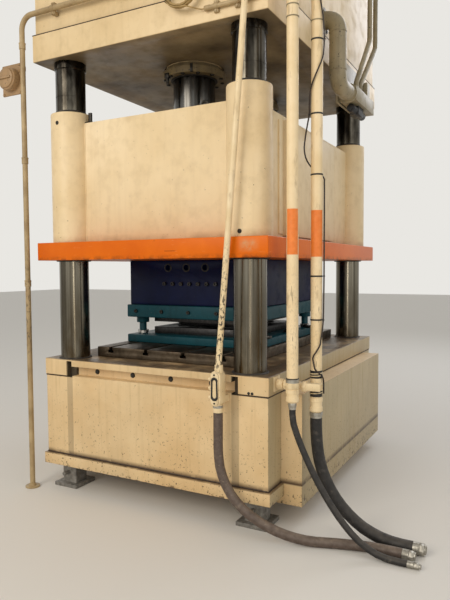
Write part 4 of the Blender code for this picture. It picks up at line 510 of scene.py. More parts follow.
def finished(piece, material, node, body="frame", shift=SHIFT_Y):
    """A piece that stands for a CAD node, which it hides."""
    settle(piece, material, body, shift)
    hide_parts(node)


def soften(piece, width, segments=2):
    """Rounds a piece's sharp edges."""
    take(piece)
    edge = piece.modifiers.new("edge", "BEVEL")
    edge.width = width
    edge.segments = segments
    edge.limit_method = "ANGLE"
    bpy.ops.object.modifier_apply(modifier=edge.name)
    return piece


def cube(name, low, high):
    """A cube drawn out between two corners, left in edit mode with everything selected."""
    take(None)
    low, high = Vector(low), Vector(high)
    bpy.ops.mesh.primitive_cube_add(size=1, location=(low + high) / 2)
    piece = bpy.context.object
    piece.name = name
    piece.scale = high - low
    bpy.ops.object.transform_apply(location=False, rotation=False)
    bpy.ops.object.mode_set(mode="EDIT")
    bpy.ops.mesh.select_all(action="SELECT")
    return piece


def block(name, low, high, edge=0.002):
    """A block between two corners with all its edges rounded."""
    piece = cube(name, low, high)
    bpy.ops.mesh.bevel(offset=edge, segments=2)
    bpy.ops.object.mode_set(mode="OBJECT")
    return piece


def pill(name, low, high, radius):
    """A block with its four edges from front to back rounded wide, and the rest rounded a little."""
    piece = cube(name, low, high)
    bpy.ops.mesh.select_all(action="DESELECT")
    bpy.ops.mesh.select_mode(type="EDGE")
    bpy.ops.object.mode_set(mode="OBJECT")
    for side in piece.data.edges:
        first, second = (piece.data.vertices[i].co for i in side.vertices)
        side.select = abs((second - first).normalized().y) > 0.9
    bpy.ops.object.mode_set(mode="EDIT")
    bpy.ops.mesh.bevel(offset=radius, segments=12)
    bpy.ops.mesh.select_mode(type="VERT")
    bpy.ops.object.mode_set(mode="OBJECT")
    return soften(piece, 0.003)


def turned(name, profile, sides=ROUND_SIDES, place=(0, 0, 0), axis="Z", closed=False):
    """A turned piece: a ring that is extruded and scaled from one (radius, height) of its profile to the next."""
    take(None)
    radius, height = profile[0]
    bpy.ops.mesh.primitive_circle_add(vertices=sides, radius=radius, fill_type="NOTHING" if closed else "NGON")
    piece = bpy.context.object
    piece.name = name
    bpy.ops.object.mode_set(mode="EDIT")
    bpy.ops.mesh.select_all(action="SELECT")
    bpy.ops.transform.translate(value=(0, 0, height))
    for (radius, height), (next_radius, next_height) in zip(profile, profile[1:]):
        bpy.ops.mesh.extrude_region_move(TRANSFORM_OT_translate={"value": (0, 0, next_height - height)})
        growth = next_radius / radius
        bpy.ops.transform.resize(value=(growth, growth, 1), center_override=(0, 0, next_height))
    if closed:
        # The last ring is bridged back to the first
        bpy.ops.mesh.select_mode(type="EDGE")
        bpy.ops.object.mode_set(mode="OBJECT")
        last = len(piece.data.vertices) - sides
        for edge in piece.data.edges:
            edge.select = max(edge.vertices) < sides or min(edge.vertices) >= last
        bpy.ops.object.mode_set(mode="EDIT")
        bpy.ops.mesh.bridge_edge_loops()
        bpy.ops.mesh.select_mode(type="VERT")
    bpy.ops.mesh.select_all(action="SELECT")
    bpy.ops.mesh.normals_make_consistent(inside=False)
    bpy.ops.object.mode_set(mode="OBJECT")
    return put(piece, place, {"X": (0, 90, 0), "Y": (90, 0, 0), "Z": (0, 0, 0)}[axis])


def collar(name, radius, wall, place, axis, width):
    """A short ring round a pipe, with rounded edges."""
    half = width / 2
    return turned(name, [
        (radius, -half), (radius + wall * 0.6, -half), (radius + wall, -half + wall * 0.4),
        (radius + wall, half - wall * 0.4), (radius + wall * 0.6, half), (radius, half),
    ], ROUND_SIDES, place, axis, closed=True)


def nut(radius, low, high, place, axis="Z", edge=0.002, segments=2):
    """A hexagon nut with rounded edges, from one height to another."""
    return soften(turned("nut", [(radius, low), (radius, high)], HEX_SIDES, place, axis), edge, segments)


def joined(name, pieces):
    """Several pieces as one."""
    take(pieces[0])
    for piece in pieces:
        piece.select_set(True)
    if len(pieces) > 1:
        bpy.ops.object.join()
    result = bpy.context.object
    result.name = name
    return result


def copies(name, model, places):
    """Copies of a model at several offsets, each with its own mesh, joined as one piece; the model goes."""
    made = []
    for place in places:
        take(model)
        bpy.ops.object.duplicate()
        made.append(put(bpy.context.object, place))
    bpy.data.objects.remove(model, do_unlink=True)
    return joined(name, made)


def stand(piece, axis, sign):
    """Turns a piece that stands on the origin so that it points along an axis."""
    return put(piece, turn={"X": (0, sign * 90, 0), "Y": (-sign * 90, 0, 0), "Z": (0 if sign > 0 else 180, 0, 0)}[axis])


def bolt(size, axis, sign=1, washer=True):
    """A hexagon head on its washer, seated at the origin and standing out along an axis. size is the thread's."""
    head_r, head_height, washer_r, washer_height = size * 0.95, size * 0.62, size * 1.12, size * 0.16
    parts = []
    if washer:
        parts.append(soften(turned("washer", [(washer_r, 0), (washer_r, washer_height)], SMALL_SIDES), size * 0.03, 1))
    parts.append(turned("head", [
        (head_r, washer_height / 2), (head_r, head_height * 0.85), (head_r * 0.86, head_height),
    ], HEX_SIDES))
    return stand(joined("bolt", parts), axis, sign)


def socket_screw(size, axis, sign=1):
    """A round-headed screw with a hexagon socket sunk in its head."""
    return stand(turned("screw", [
        (size * 0.8, 0), (size * 0.8, size * 0.85), (size * 0.72, size * 0.95), (size * 0.42, size * 0.95),
        (size * 0.40, size * 0.45),
    ], SMALL_SIDES), axis, sign)


def rounded_path(points, radius, steps=10):
    """A path with an arc of the given radius at each inner corner."""
    points = [Vector(point) for point in points]
    path = [points[0]]
    for before, corner, after in zip(points, points[1:], points[2:]):
        back = (before - corner).normalized()
        ahead = (after - corner).normalized()
        half = back.angle(ahead) / 2
        middle = corner + (back + ahead).normalized() * (radius / math.sin(half))
        start = corner + back * (radius / math.tan(half)) - middle
        end = corner + ahead * (radius / math.tan(half)) - middle
        axis = start.cross(end).normalized()
        for i in range(steps + 1):
            path.append(middle + Matrix.Rotation((math.pi - 2 * half) * i / steps, 3, axis) @ start)
    path.append(points[-1])
    return path


def smooth_path(points, step):
    """Points about a step apart on a smooth curve, with a straight first and last stretch."""
    points = [Vector(point) for point in points]
    fine = []
    for a, b, c, d in zip(points, points[1:], points[2:], points[3:]):
        for i in range(20):
            t = i / 20
            fine.append(0.5 * (2 * b + (c - a) * t + (2 * a - 5 * b + 4 * c - d) * t ** 2
                               + (3 * b - a - 3 * c + d) * t ** 3))
    fine.append(points[-2])
    lengths = [0.0]
    for before, after in zip(fine, fine[1:]):
        lengths.append(lengths[-1] + (after - before).length)
    count = max(2, round(lengths[-1] / step))
    path, at = [], 0
    for i in range(count + 1):
        want = lengths[-1] * i / count
        while at < len(fine) - 2 and lengths[at + 1] < want:
            at += 1
        share = (want - lengths[at]) / (lengths[at + 1] - lengths[at])
        path.append(fine[at].lerp(fine[at + 1], share))
    return [points[0], *path, points[-1]]


def pipe(name, path, radius, sides):
    """A round pipe along a path: a curve with a round bevel, made a welded mesh. sides is the bevel's resolution."""
    take(None)
    bpy.ops.curve.primitive_bezier_curve_add()
    curve = bpy.context.object
    curve.name = name
    data = curve.data
    data.splines.clear()
    data.dimensions = "3D"
    data.bevel_depth = radius
    data.bevel_resolution = sides
    data.use_fill_caps = True
    spline = data.splines.new("POLY")
    spline.points.add(len(path) - 1)
    for point, place in zip(spline.points, path):
        point.co = (*place, 1.0)
    take(curve)
    bpy.ops.object.convert(target="MESH")
    piece = bpy.context.object
    bpy.ops.object.mode_set(mode="EDIT")
    bpy.ops.mesh.select_all(action="SELECT")
    bpy.ops.mesh.remove_doubles(threshold=0.00001)
    bpy.ops.mesh.normals_make_consistent(inside=False)
    bpy.ops.object.mode_set(mode="OBJECT")
    return piece


def dressed(node, material, body, edge):
    """Puts a welded copy of a CAD node with rounded edges in the node's place."""
    take(frame["nodes"][node])
    bpy.ops.object.duplicate()
    piece = bpy.context.object
    bpy.ops.object.parent_clear(type="CLEAR_KEEP_TRANSFORM")
    piece.name = node + "_dressed"
    bpy.ops.object.mode_set(mode="EDIT")
    bpy.ops.mesh.select_all(action="SELECT")
    bpy.ops.mesh.remove_doubles(threshold=0.00002)
    bpy.ops.mesh.dissolve_limited(angle_limit=math.radians(1))
    bpy.ops.object.mode_set(mode="OBJECT")
    finished(soften(piece, edge), material, node, body, shift=0)


def ring_of(radius, count, turn=0.0, plane="XY", centre=(0, 0, 0)):
    """Places evenly spread round a circle."""
    places = []
    for i in range(count):
        angle = math.radians(turn) + 2 * math.pi * i / count
        first, second = radius * math.cos(angle), radius * math.sin(angle)
        offset = {"XY": (first, second, 0), "YZ": (0, first, second)}[plane]
        places.append(Vector(centre) + Vector(offset))
    return places


# The camera stands where the photograph was taken, at the height of the eye
CAMERA_PLACE = (2.2051, -4.1149, 1.55)
CAMERA_YAW = 28.16
CAMERA_PITCH = 3.138
CAMERA_ROLL = -0.328
yaw, pitch, roll = (math.radians(angle) for angle in (CAMERA_YAW, CAMERA_PITCH, CAMERA_ROLL))
ahead = Vector((-math.sin(yaw) * math.cos(pitch), math.cos(yaw) * math.cos(pitch), -math.sin(pitch)))
across = Vector((math.cos(yaw), math.sin(yaw), 0))
above = across.cross(ahead)
right = math.cos(roll) * across + math.sin(roll) * above
upward = math.cos(roll) * above - math.sin(roll) * across
bpy.ops.object.camera_add(location=CAMERA_PLACE)
camera = bpy.context.object
camera.rotation_euler = Matrix((right, upward, -ahead)).transposed().to_euler()
camera.data.sensor_fit = "VERTICAL"
camera.data.sensor_height = 36
camera.data.lens = 35.07
camera.data.clip_end = 200
bpy.context.scene.camera = camera
bpy.context.scene.view_settings.view_transform = "Standard"


def lamp(name, place, target, size, power, tone):
    """A soft, square studio lamp that points at a target."""
    bpy.ops.object.light_add(type="AREA", location=place)
    light = bpy.context.object
    light.name = name
    light.rotation_euler = (Vector(target) - Vector(place)).to_track_quat("-Z", "Y").to_euler()
    light.data.shape = "RECTANGLE"
    light.data.size = size[0]
    light.data.size_y = size[1]
    light.data.energy = power
    light.data.color = linear(tone)[:3]


lamp("key", (-1.4, -8.0, 4.8), (0.1, 0, 1.7), (4.0, 4.0), 268, "#FFF6E8")
lamp("strip", (3.3, -6.4, 1.9), (0.69, -1.01, 1.7), (0.6, 3.2), 34, "#FFF6E8")
lamp("fill", (6.5, -3.0, 3.5), (0.3, 0, 1.6), (3.5, 3.5), 50, "#FFFBF4")
lamp("back", (2.0, 6.5, 6.0), (0, 0, 2.0), (4.0, 3.0), 120, "#F6F8FF")

world = bpy.data.worlds.new("studio")
bpy.context.scene.world = world
world.use_nodes = True
air = world.node_tree
air.nodes.clear()
rays = add(air, "LightPath")
seen = add(air, "Math", {"operation": "MAXIMUM"}, {0: rays.outputs["Is Camera Ray"], 1: rays.outputs["Is Glossy Ray"]})
seen = add(air, "Math", {"operation": "MAXIMUM"}, {0: seen.outputs[0], 1: rays.outputs["Is Transmission Ray"]})
room = add(air, "Background", {"Color": linear("#F4F2EE"), "Strength": 0.58})
wall = add(air, "Background", {"Color": linear("#E9E7E2"), "Strength": 1.0})
mixed = add(air, "MixShader", links={0: seen.outputs[0], 1: room.outputs[0], 2: wall.outputs[0]})
add(air, "OutputWorld", links={"Surface": mixed.outputs[0]})

take(None)
bpy.ops.mesh.primitive_plane_add(size=60, location=(0, 0, 0))
floor = bpy.context.object
floor.name = "floor"
concrete = Finish("pale_painted_concrete")
concrete.shader.inputs["Base Color"].default_value = linear("#E2DFD9")
concrete.shader.inputs["Roughness"].default_value = 0.75
floor.data.materials.append(concrete.material)

# The hoses hang from their fittings, lie down on the floor and end there in their connectors
CONNECTOR_LENGTH = 0.07
HOSE_STEP = 0.055
HOSE_JACKETS = {"leaning": "hose", "front": "black_hose", "rear": "black_hose"}


def connector(name, radius, place):
    """A hose's end: a ribbed sleeve crimped on the hose, a hexagon nut and a threaded nose with a plug in it."""
    sleeve, hexagon, nose = CONNECTOR_LENGTH * 0.50, CONNECTOR_LENGTH * 0.86, CONNECTOR_LENGTH
    rib = CONNECTOR_LENGTH * 0.1
    ribs = [(radius * 0.90, 0), (radius * 0.99, 0.002)]
    for i in range(4):
        ribs += [(radius * 0.99, rib * (i + 0.7)), (radius * 0.93, rib * (i + 0.8)), (radius * 0.93, rib * (i + 0.9)),
                 (radius * 0.99, rib * (i + 1))]
    ribs += [(radius * 0.99, sleeve - 0.002), (radius * 0.80, sleeve)]
    piece = joined("connector_" + name, [
        turned("sleeve", ribs, ROUND_SIDES, place, "X"),
        nut(radius * 0.98, sleeve - 0.001, hexagon, place, "X", 0.001, 1),
        turned("nose", [
            (radius * 0.72, hexagon - 0.001), (radius * 0.72, nose - 0.002), (radius * 0.64, nose),
            (radius * 0.50, nose), (radius * 0.48, nose - 0.006),
        ], ROUND_SIDES, place, "X"),
    ])
    settle(piece, "zinc")
    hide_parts("hose_connector_" + name)
    return piece


for name, (radius, route) in HOSES.items():
    path = smooth_path(route, HOSE_STEP)
    end = connector(name, radius, route[-1])
    hose = settle(pipe("hose_line_" + name, path, radius, 8), HOSE_JACKETS[name])
    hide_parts("hose_" + name)

# The spare signal cable hangs in a coil from the crown's hook, between the ends of the two short conduits
COIL_CENTRE = (0.350, -1.226, 3.168)
COIL_CABLE_R = 0.004
COIL_LAYERS = (0.0965, 0.1050, 0.1135)
COIL_TURNS = 3
COIL_PITCH = 0.0084
COIL_POINTS = 20
COIL_BACK = -1.2134
COIL_FRONT_Y = COIL_BACK - COIL_TURNS * COIL_PITCH
COIL_LAST = 0.25
RUN_END = (0.2225, RUN_Y, RUN_Z)
SHORT_RUN_END = (0.4925, SHORT_Y, SHORT_Z)


def coil_path():
    """In from one conduit, three layers of turns wound anticlockwise, and out to the other conduit."""
    centre_x, _, centre_z = COIL_CENTRE
    path = [Vector(point) for point in (
        RUN_END, (0.2285, -1.2010, 3.2700), (0.2385, -1.2012, 3.2680), (0.2490, -1.2018, 3.2620),
        (0.2565, -1.2024, 3.2530), (0.2600, -1.2030, 3.2420), (0.2595, -1.2032, 3.2290), (0.2570, -1.2035, 3.2110),
        (0.2547, -1.2038, 3.1900))]
    for layer, radius in enumerate(COIL_LAYERS):
        last = layer == len(COIL_LAYERS) - 1
        turns = COIL_TURNS + (COIL_LAST if last else 0)
        count = round(turns * COIL_POINTS)
        before = COIL_LAYERS[layer - 1] if layer else radius
        start_y, end_y = (COIL_BACK, COIL_FRONT_Y) if layer % 2 == 0 else (COIL_FRONT_Y, COIL_BACK)
        if layer == 0:
            start_y = COIL_BACK + COIL_PITCH
        for i in range(count):
            turn = i / COIL_POINTS
            angle = math.radians(180) + 2 * math.pi * turn
            share = min(1.0, turn / 0.3)
            reach = before + (radius - before) * share * share * (3 - 2 * share)
            path.append(Vector((centre_x + reach * math.cos(angle), start_y + (end_y - start_y) * turn / turns,
                                centre_z + reach * math.sin(angle))))
    return path + [Vector(point) for point in (
        (0.3500, COIL_FRONT_Y, 3.0545), (0.3750, -1.2370, 3.0540), (0.4000, -1.2280, 3.0505), (0.4250, -1.2130, 3.0440),
        (0.4480, -1.1990, 3.0370), (0.4700, -1.1895, 3.0328), SHORT_RUN_END)]


path = coil_path()
coil = settle(pipe("spare_signal_cable", path, COIL_CABLE_R, 3), "cable")
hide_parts("cable_coil")

# The columns and the rams: ground bar with fine, true rounds
for corner, (side, face) in CORNERS.items():
    place = (side * COLUMN_X, face * COLUMN_Y, 0)
    node = "column_" + corner
    low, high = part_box(node)
    column = turned(node + "_bar", [
        (COLUMN_FOOT_R - 0.006, low[2]), (COLUMN_FOOT_R, low[2] + 0.006), (COLUMN_FOOT_R, BED_TOP + 0.0004),
        (COLUMN_R, BED_TOP + 0.0004),
        (COLUMN_R, GROOVE_Z - GROOVE_WIDTH / 2), (COLUMN_R - GROOVE_DEPTH, GROOVE_Z - GROOVE_WIDTH / 2 + 0.0005),
        (COLUMN_R - GROOVE_DEPTH, GROOVE_Z + GROOVE_WIDTH / 2 - 0.0005), (COLUMN_R, GROOVE_Z + GROOVE_WIDTH / 2),
        (COLUMN_R, COLLAR_LOW - 0.004),
        (COLUMN_COLLAR_R - 0.003, COLLAR_LOW), (COLUMN_COLLAR_R, COLLAR_LOW + 0.003),
        (COLUMN_COLLAR_R, CROWN_LOW - 0.0004), (COLUMN_HEAD_R, CROWN_LOW - 0.0004), (COLUMN_HEAD_R, high[2] - 0.008),
        (COLUMN_HEAD_R - 0.008, high[2]),
    ], FINE_SIDES, place)
    finished(column, "column", node)
    # Threads stand out of the nut: rings of rounded crests
    threads = [(COLUMN_HEAD_R - 0.002, 0)]
    for i in range(5):
        threads += [(COLUMN_HEAD_R + 0.0012, 0.001 + i * 0.0035), (COLUMN_HEAD_R - 0.0012, 0.0027 + i * 0.0035)]
    thread = turned("column_thread_" + corner, threads, ROUND_SIDES, (place[0], place[1], CROWN_TOP + 0.1105))
    settle(thread, "machined")
    grime = turned("column_foot_seal_" + corner, [
        (COLUMN_R + 0.0006, BED_TOP + 0.0006), (COLUMN_R + 0.013, BED_TOP + 0.0006),
        (COLUMN_R + 0.010, BED_TOP + 0.005), (COLUMN_R + 0.0006, BED_TOP + 0.009),
    ], FINE_SIDES, place, closed=True)
    settle(grime, "gasket")

for name, face in CYLINDERS.items():
    place = (0, face * CYLINDER_Y, 0)
    node = "main_ram_" + name
    low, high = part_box(node)
    foot_top = low[2] + RAM_FOOT_HEIGHT
    ram = turned(node + "_bar", [
        (RAM_FOOT_R - 0.003, low[2]), (RAM_FOOT_R, low[2] + 0.003), (RAM_FOOT_R, foot_top - 0.004),
        (RAM_FOOT_R - 0.004, foot_top), (RAM_R, foot_top), (RAM_R, high[2] - 0.004), (RAM_R - 0.004, high[2]),
    ], FINE_SIDES, place)
    finished(ram, "ram", node, body="slide")
    bolts = copies("ram_foot_bolts_" + name, bolt(0.020, "Z"), ring_of(
        (RAM_R + RAM_FOOT_R) / 2 + 0.001, 8, 22.5, centre=(0, face * CYLINDER_Y, RAM_FOOT_TOP)))
    settle(bolts, "bolt", "slide")

    node = "cylinder_barrel_" + name
    low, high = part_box(node)
    barrel = turned(node + "_casing", [
        (RAM_R + 0.012, low[2] + 0.001), (BARREL_R - 0.014, low[2] + 0.001), (BARREL_R - 0.014, CROWN_TOP + 0.001),
        (BARREL_FLANGE_R - 0.003, CROWN_TOP + 0.0006), (BARREL_FLANGE_R, CROWN_TOP + 0.004),
        (BARREL_FLANGE_R, FLANGE_TOP - 0.004),
        (BARREL_FLANGE_R - 0.004, FLANGE_TOP), (BARREL_R + 0.006, FLANGE_TOP),
        (BARREL_R, FLANGE_TOP + 0.006), (BARREL_R, high[2] - BARREL_DOME),
        (BARREL_R - 0.009, high[2] - 0.009), (BARREL_R - BARREL_DOME, high[2]), (0.02, high[2]),
    ], FINE_SIDES, place)
    finished(barrel, "crown", node)
    bolts = copies("barrel_flange_bolts_" + name, bolt(0.024, "Z"), ring_of(
        (BARREL_R + BARREL_FLANGE_R) / 2 + 0.002, 16, 11, centre=(0, face * CYLINDER_Y, FLANGE_TOP)))
    settle(bolts, "bolt")

    node = "gland_ring_" + name
    gland = turned(node + "_flange", [
        (RAM_R + 0.0035, GLAND_LOW + 0.003), (RAM_R + 0.010, GLAND_LOW), (GLAND_R - 0.003, GLAND_LOW),
        (GLAND_R, GLAND_LOW + 0.003), (GLAND_R, GLAND_RIM_TOP - 0.003), (GLAND_R - 0.003, GLAND_RIM_TOP),
        (GLAND_NECK_R, GLAND_RIM_TOP), (GLAND_NECK_R, CROWN_LOW - 0.0005), (RAM_R + 0.0035, CROWN_LOW - 0.0005),
    ], FINE_SIDES, place, closed=True)
    finished(gland, "gland", node)
    bolts = copies("gland_bolts_" + name, bolt(0.014, "Z", -1), ring_of(
        GLAND_BOLT_CIRCLE_R - 0.004, GLAND_BOLTS, 8, centre=(0, face * CYLINDER_Y, GLAND_LOW)))
    settle(bolts, "bolt")
    wiper = turned("gland_wiper_" + name, [
        (RAM_R + 0.0008, GLAND_LOW - 0.006), (RAM_R + 0.014, GLAND_LOW - 0.006), (RAM_R + 0.017, GLAND_LOW - 0.003),
        (RAM_R + 0.017, GLAND_LOW + 0.001), (RAM_R + 0.0008, GLAND_LOW + 0.001),
    ], FINE_SIDES, place, closed=True)
    settle(wiper, "gasket")

# A drain clip on the front gland's edge, with the end of its short pipe, and a lug on each gland's joint
clip = joined("gland_drain_clip", [
    block("clip", (-0.112, -CYLINDER_Y - GLAND_R + 0.004, 2.868), (-0.078, -CYLINDER_Y - 0.185, 2.902), 0.003),
    turned("drain", [(0.009, 0), (0.009, 0.020), (0.0115, 0.021), (0.0115, 0.036), (0.006, 0.039)], SMALL_SIDES,
           (-0.095, -CYLINDER_Y - 0.203, 2.832)),
])
settle(clip, "bolt")
for name, face in CYLINDERS.items():
    lug = joined("gland_joint_" + name, [
        block("lug", (GLAND_R - 0.010, -0.009, GLAND_LOW - 0.002), (GLAND_R + 0.008, 0.009, GLAND_RIM_TOP + 0.004)),
        turned("plug", [(0.006, 0.0), (0.006, 0.005), (0.004, 0.007)], SMALL_SIDES,
               (GLAND_R + 0.007, 0, GLAND_LOW + 0.026), "X"),
    ])
    settle(put(lug, (0, face * CYLINDER_Y, 0), (0, 0, -64 if face < 0 else 116)), "bolt")

# The slide's corner bosses, their bushings and the wipers at both ends of them
for corner, (side, face) in CORNERS.items():
    place = (side * COLUMN_X, face * COLUMN_Y, 0)
    node = "guide_bushing_" + corner
    low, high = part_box(node)
    bushing = turned(node + "_liner", [
        (BORE_R, low[2] + 0.004), (BORE_R + 0.004, low[2]), (BUSHING_R - 0.002, low[2]), (BUSHING_R, low[2] + 0.002),
        (BUSHING_R, BOSS_TOP - 0.005), (WIPER_R, BOSS_TOP - 0.003), (WIPER_R, high[2] - 0.003),
        (WIPER_R - 0.003, high[2]), (BORE_R + 0.002, high[2]), (BORE_R, high[2] - 0.003),
    ], FINE_SIDES, place, closed=True)
    finished(bushing, "bronze", node, body="slide")
    shell = turned("guide_boss_" + corner, [
        (SHELL_R, PLATE_TOP + 0.0006), (SHELL_R, BOSS_TOP - 0.0085), (BOSS_R - 0.0015, BOSS_TOP - 0.0015),
        (BOSS_R - 0.008, SHELL_TOP), (BUSHING_R + 0.0006, SHELL_TOP), (BUSHING_R + 0.0006, PLATE_TOP + 0.0006),
    ], FINE_SIDES, place, closed=True)
    settle(shell, "slide", "slide")
    wiper = turned("wiper_" + corner, [
        (COLUMN_R + 0.0008, high[2] + 0.001), (COLUMN_R + 0.0008, high[2] + 0.009), (COLUMN_R + 0.003, high[2] + 0.011),
        (WIPER_R - 0.004, high[2] + 0.004), (WIPER_R - 0.003, high[2] - 0.0005), (COLUMN_R + 0.001, high[2] - 0.0005),
    ], FINE_SIDES, place, closed=True)
    settle(wiper, "gasket", "slide")
    low_wiper = turned("low_wiper_" + corner, [
        (COLUMN_R + 0.0012, PLATE_LOW - 0.008), (COLUMN_R + 0.014, PLATE_LOW - 0.008),
        (COLUMN_R + 0.018, PLATE_LOW - 0.005), (COLUMN_R + 0.018, PLATE_LOW - 0.0004),
        (COLUMN_R + 0.0012, PLATE_LOW - 0.0004),
    ], FINE_SIDES, place, closed=True)
    settle(low_wiper, "gasket", "slide")
    # The lubrication port in the boss's outer side, closed by a blackened plug
    height = PORT_LOW_Z if corner == "front_right" else PORT_HIGH_Z
    plug = turned("lubrication_plug_" + corner, [
        (0.0135, -0.002), (0.0135, 0.0015), (0.0120, 0.0028), (0.0070, 0.0028), (0.0065, 0.0006),
    ], SMALL_SIDES)
    put(plug, (place[0], place[1] + face * SHELL_R, height), (90 if face < 0 else -90, 0, 0))
    settle(plug, "bolt", "slide")

# The frame's welded and machined bodies, with the edges that grinding and paint have rounded
DRESSED = {
    "bed_weldment": ("bed", "frame", 0.004),
    "crown_base_plate": ("crown", "frame", 0.003),
    "crown_body": ("crown", "frame", 0.003),
    "slide_body": ("slide", "slide", 0.003),
    "slide_plate": ("orange", "slide", 0.002),
    "upper_die_block": ("navy", "slide", 0.002),
    "upper_die_shoe": ("teal", "slide", 0.002),
    "lower_die_shoe": ("teal", "frame", 0.002),
    "bolster_plate": ("table", "frame", 0.002),
    "die_block": ("tool", "frame", 0.0015),
    "punch": ("tool", "slide", 0.0015),
    "manifold_block": ("oil_pipe", "frame", 0.002),
    "solenoid_valve": ("coil", "frame", 0.001),
    "riser_strut": ("conduit", "frame", 0.001),
}
for corner in CORNERS:
    DRESSED["column_nut_upper_" + corner] = ("machined", "frame", 0.003)
    DRESSED["column_nut_lower_" + corner] = ("machined", "frame", 0.003)
    DRESSED["leveling_pad_" + corner] = ("pad", "frame", 0.002)
for node, (material, body, edge) in DRESSED.items():
    dressed(node, material, body, edge)

# The conduits, with their end fittings, clamps, flange and boxes
LINES = {
    "conduit_leaning": (0.018, 0.045, ((0.790, -1.1563, 3.33), (0.790, -1.221, 3.33), (0.588, -1.221, 1.021),
                                       (0.588, -1.221, 0.9913))),
    "riser_conduit_front": (RISER_R, 0.10, ((*FRONT_RISER, 0.8663), (*FRONT_RISER, 3.42), (0.8663, -1.100, 3.42))),
    "riser_conduit_rear": (RISER_R, 0.10, ((*REAR_RISER, 0.8003), (*REAR_RISER, 3.4533), (0.8663, -0.955, 3.4533))),
}


def saddle(radius, place, width, depth):
    """A one-piece saddle clamp: a band over the pipe and two feet with a screw each, down on the wall behind it."""
    x, y, z = place
    parts = [collar("band", radius, 0.003, place, "X", width)]
    reach = radius + 0.020
    for low, high in ((z - reach, z - radius), (z + radius, z + reach)):
        parts.append(block("ear", (x - width / 2, y, low), (x + width / 2, y + depth, high)))
        parts.append(put(bolt(0.009, "Y", -1, washer=False), (x, y, (low + high) / 2)))
    return parts


for node, (radius, bend, points) in LINES.items():
    path = rounded_path(points, bend)
    parts = [pipe("run", path, radius, 12)]
    if node == "conduit_leaning":
        parts.append(collar("top_ring", radius, 0.006, (0.790, -1.1625, 3.33), "Y", 0.010))
    else:
        x, y, top = points[1]
        parts.append(collar("top_ring", radius, 0.008, (0.8725, y, top), "X", 0.012))
    finished(joined(node + "_run", parts), "conduit" if node == "conduit_leaning" else "riser", node)

path = rounded_path(((0.205, RUN_Y, RUN_Z), (-0.945, RUN_Y, RUN_Z), (DROP_X, RUN_Y, 0.006)), 0.09)
parts = [
    pipe("run", path, RUN_R, 12),
    turned("end_fitting", [(0.006, -0.0175), (0.021, -0.0175), (0.024, -0.014), (0.024, 0.004), (0.0215, 0.006),
                           (0.0215, 0.014), (0.012, 0.0175), (0.006, 0.0175)], ROUND_SIDES, (0.205, RUN_Y, RUN_Z), "X",
           closed=True),
    turned("floor_flange", [(0.019, 0.0), (0.048, 0.0), (0.050, 0.002), (0.050, 0.010), (0.047, 0.012), (0.026, 0.012),
                            (0.024, 0.022), (0.0185, 0.024)], ROUND_SIDES, (DROP_X, RUN_Y, 0.0003)),
]
for x in (-0.66, -0.10):
    parts += saddle(RUN_R, (x, RUN_Y, RUN_Z), 0.030, CROWN_STANDOFF)
for z in (3.075, 2.30, 1.45):
    parts.append(collar("joint_ring", RUN_R, 0.004, (DROP_X, RUN_Y, z), "Z", 0.045))
    parts.append(collar("joint_band", RUN_R, 0.006, (DROP_X, RUN_Y, z + 0.017), "Z", 0.008))
finished(joined("crown_conduit_left_run", parts), "run", "crown_conduit_left")

path = rounded_path(((0.510, SHORT_Y, SHORT_Z), (0.858, SHORT_Y, SHORT_Z), (0.858, SHORT_Y, 3.372)), 0.05)
parts = [
    pipe("run", path, SHORT_R, 10),
    turned("end_fitting", [(0.005, -0.0175), (0.0140, -0.0175), (0.0155, -0.015), (0.0155, 0.015), (0.0140, 0.0175),
                           (0.005, 0.0175)], ROUND_SIDES, (0.510, SHORT_Y, SHORT_Z), "X", closed=True),
    block("end_box", (0.836, -1.209, 3.350), (0.880, -1.1565, 3.394), 0.003),
]
for x in (0.565, 0.700):
    parts += saddle(SHORT_R, (x, SHORT_Y, SHORT_Z), 0.030, 0.0155)
finished(joined("crown_conduit_right_run", parts), "run", "crown_conduit_right")

# The junction box on the drop: square base, round can and a lid with ribs and screws
box_x, box_z = -1.053, 2.865
parts = [
    block("base", (box_x - 0.09, RUN_Y, box_z - 0.105), (box_x + 0.09, RUN_Y + 0.012, box_z + 0.105), 0.003),
    put(turned("can", [(0.078, 0.0), (0.078, 0.048), (0.074, 0.052), (0.068, 0.052), (0.066, 0.055), (0.066, 0.060),
                       (0.063, 0.062), (0.020, 0.062), (0.018, 0.0615)]), (box_x, RUN_Y + 0.0005, box_z), (90, 0, 0)),
    block("strap", (-0.990, -1.205, 2.907), (-0.9275, -1.189, 2.939)),
    block("grip", (box_x - 0.052, RUN_Y - 0.0705, box_z - 0.007), (box_x + 0.052, RUN_Y - 0.060, box_z + 0.007), 0.003),
]
for x, z in ((-0.0561, 0.0), (0.0561, 0.0), (0.0, 0.0561), (0.0, -0.0561)):
    parts.append(put(bolt(0.008, "Y", -1, washer=False), (box_x + x, RUN_Y - 0.0525, box_z + z)))
for x, z in ((-0.078, 0.093), (0.078, 0.093), (-0.078, -0.093), (0.078, -0.093)):
    parts.append(put(bolt(0.009, "Y", -1), (box_x + x, RUN_Y, box_z + z)))
finished(joined("junction_box_can", parts), "box", "junction_box")

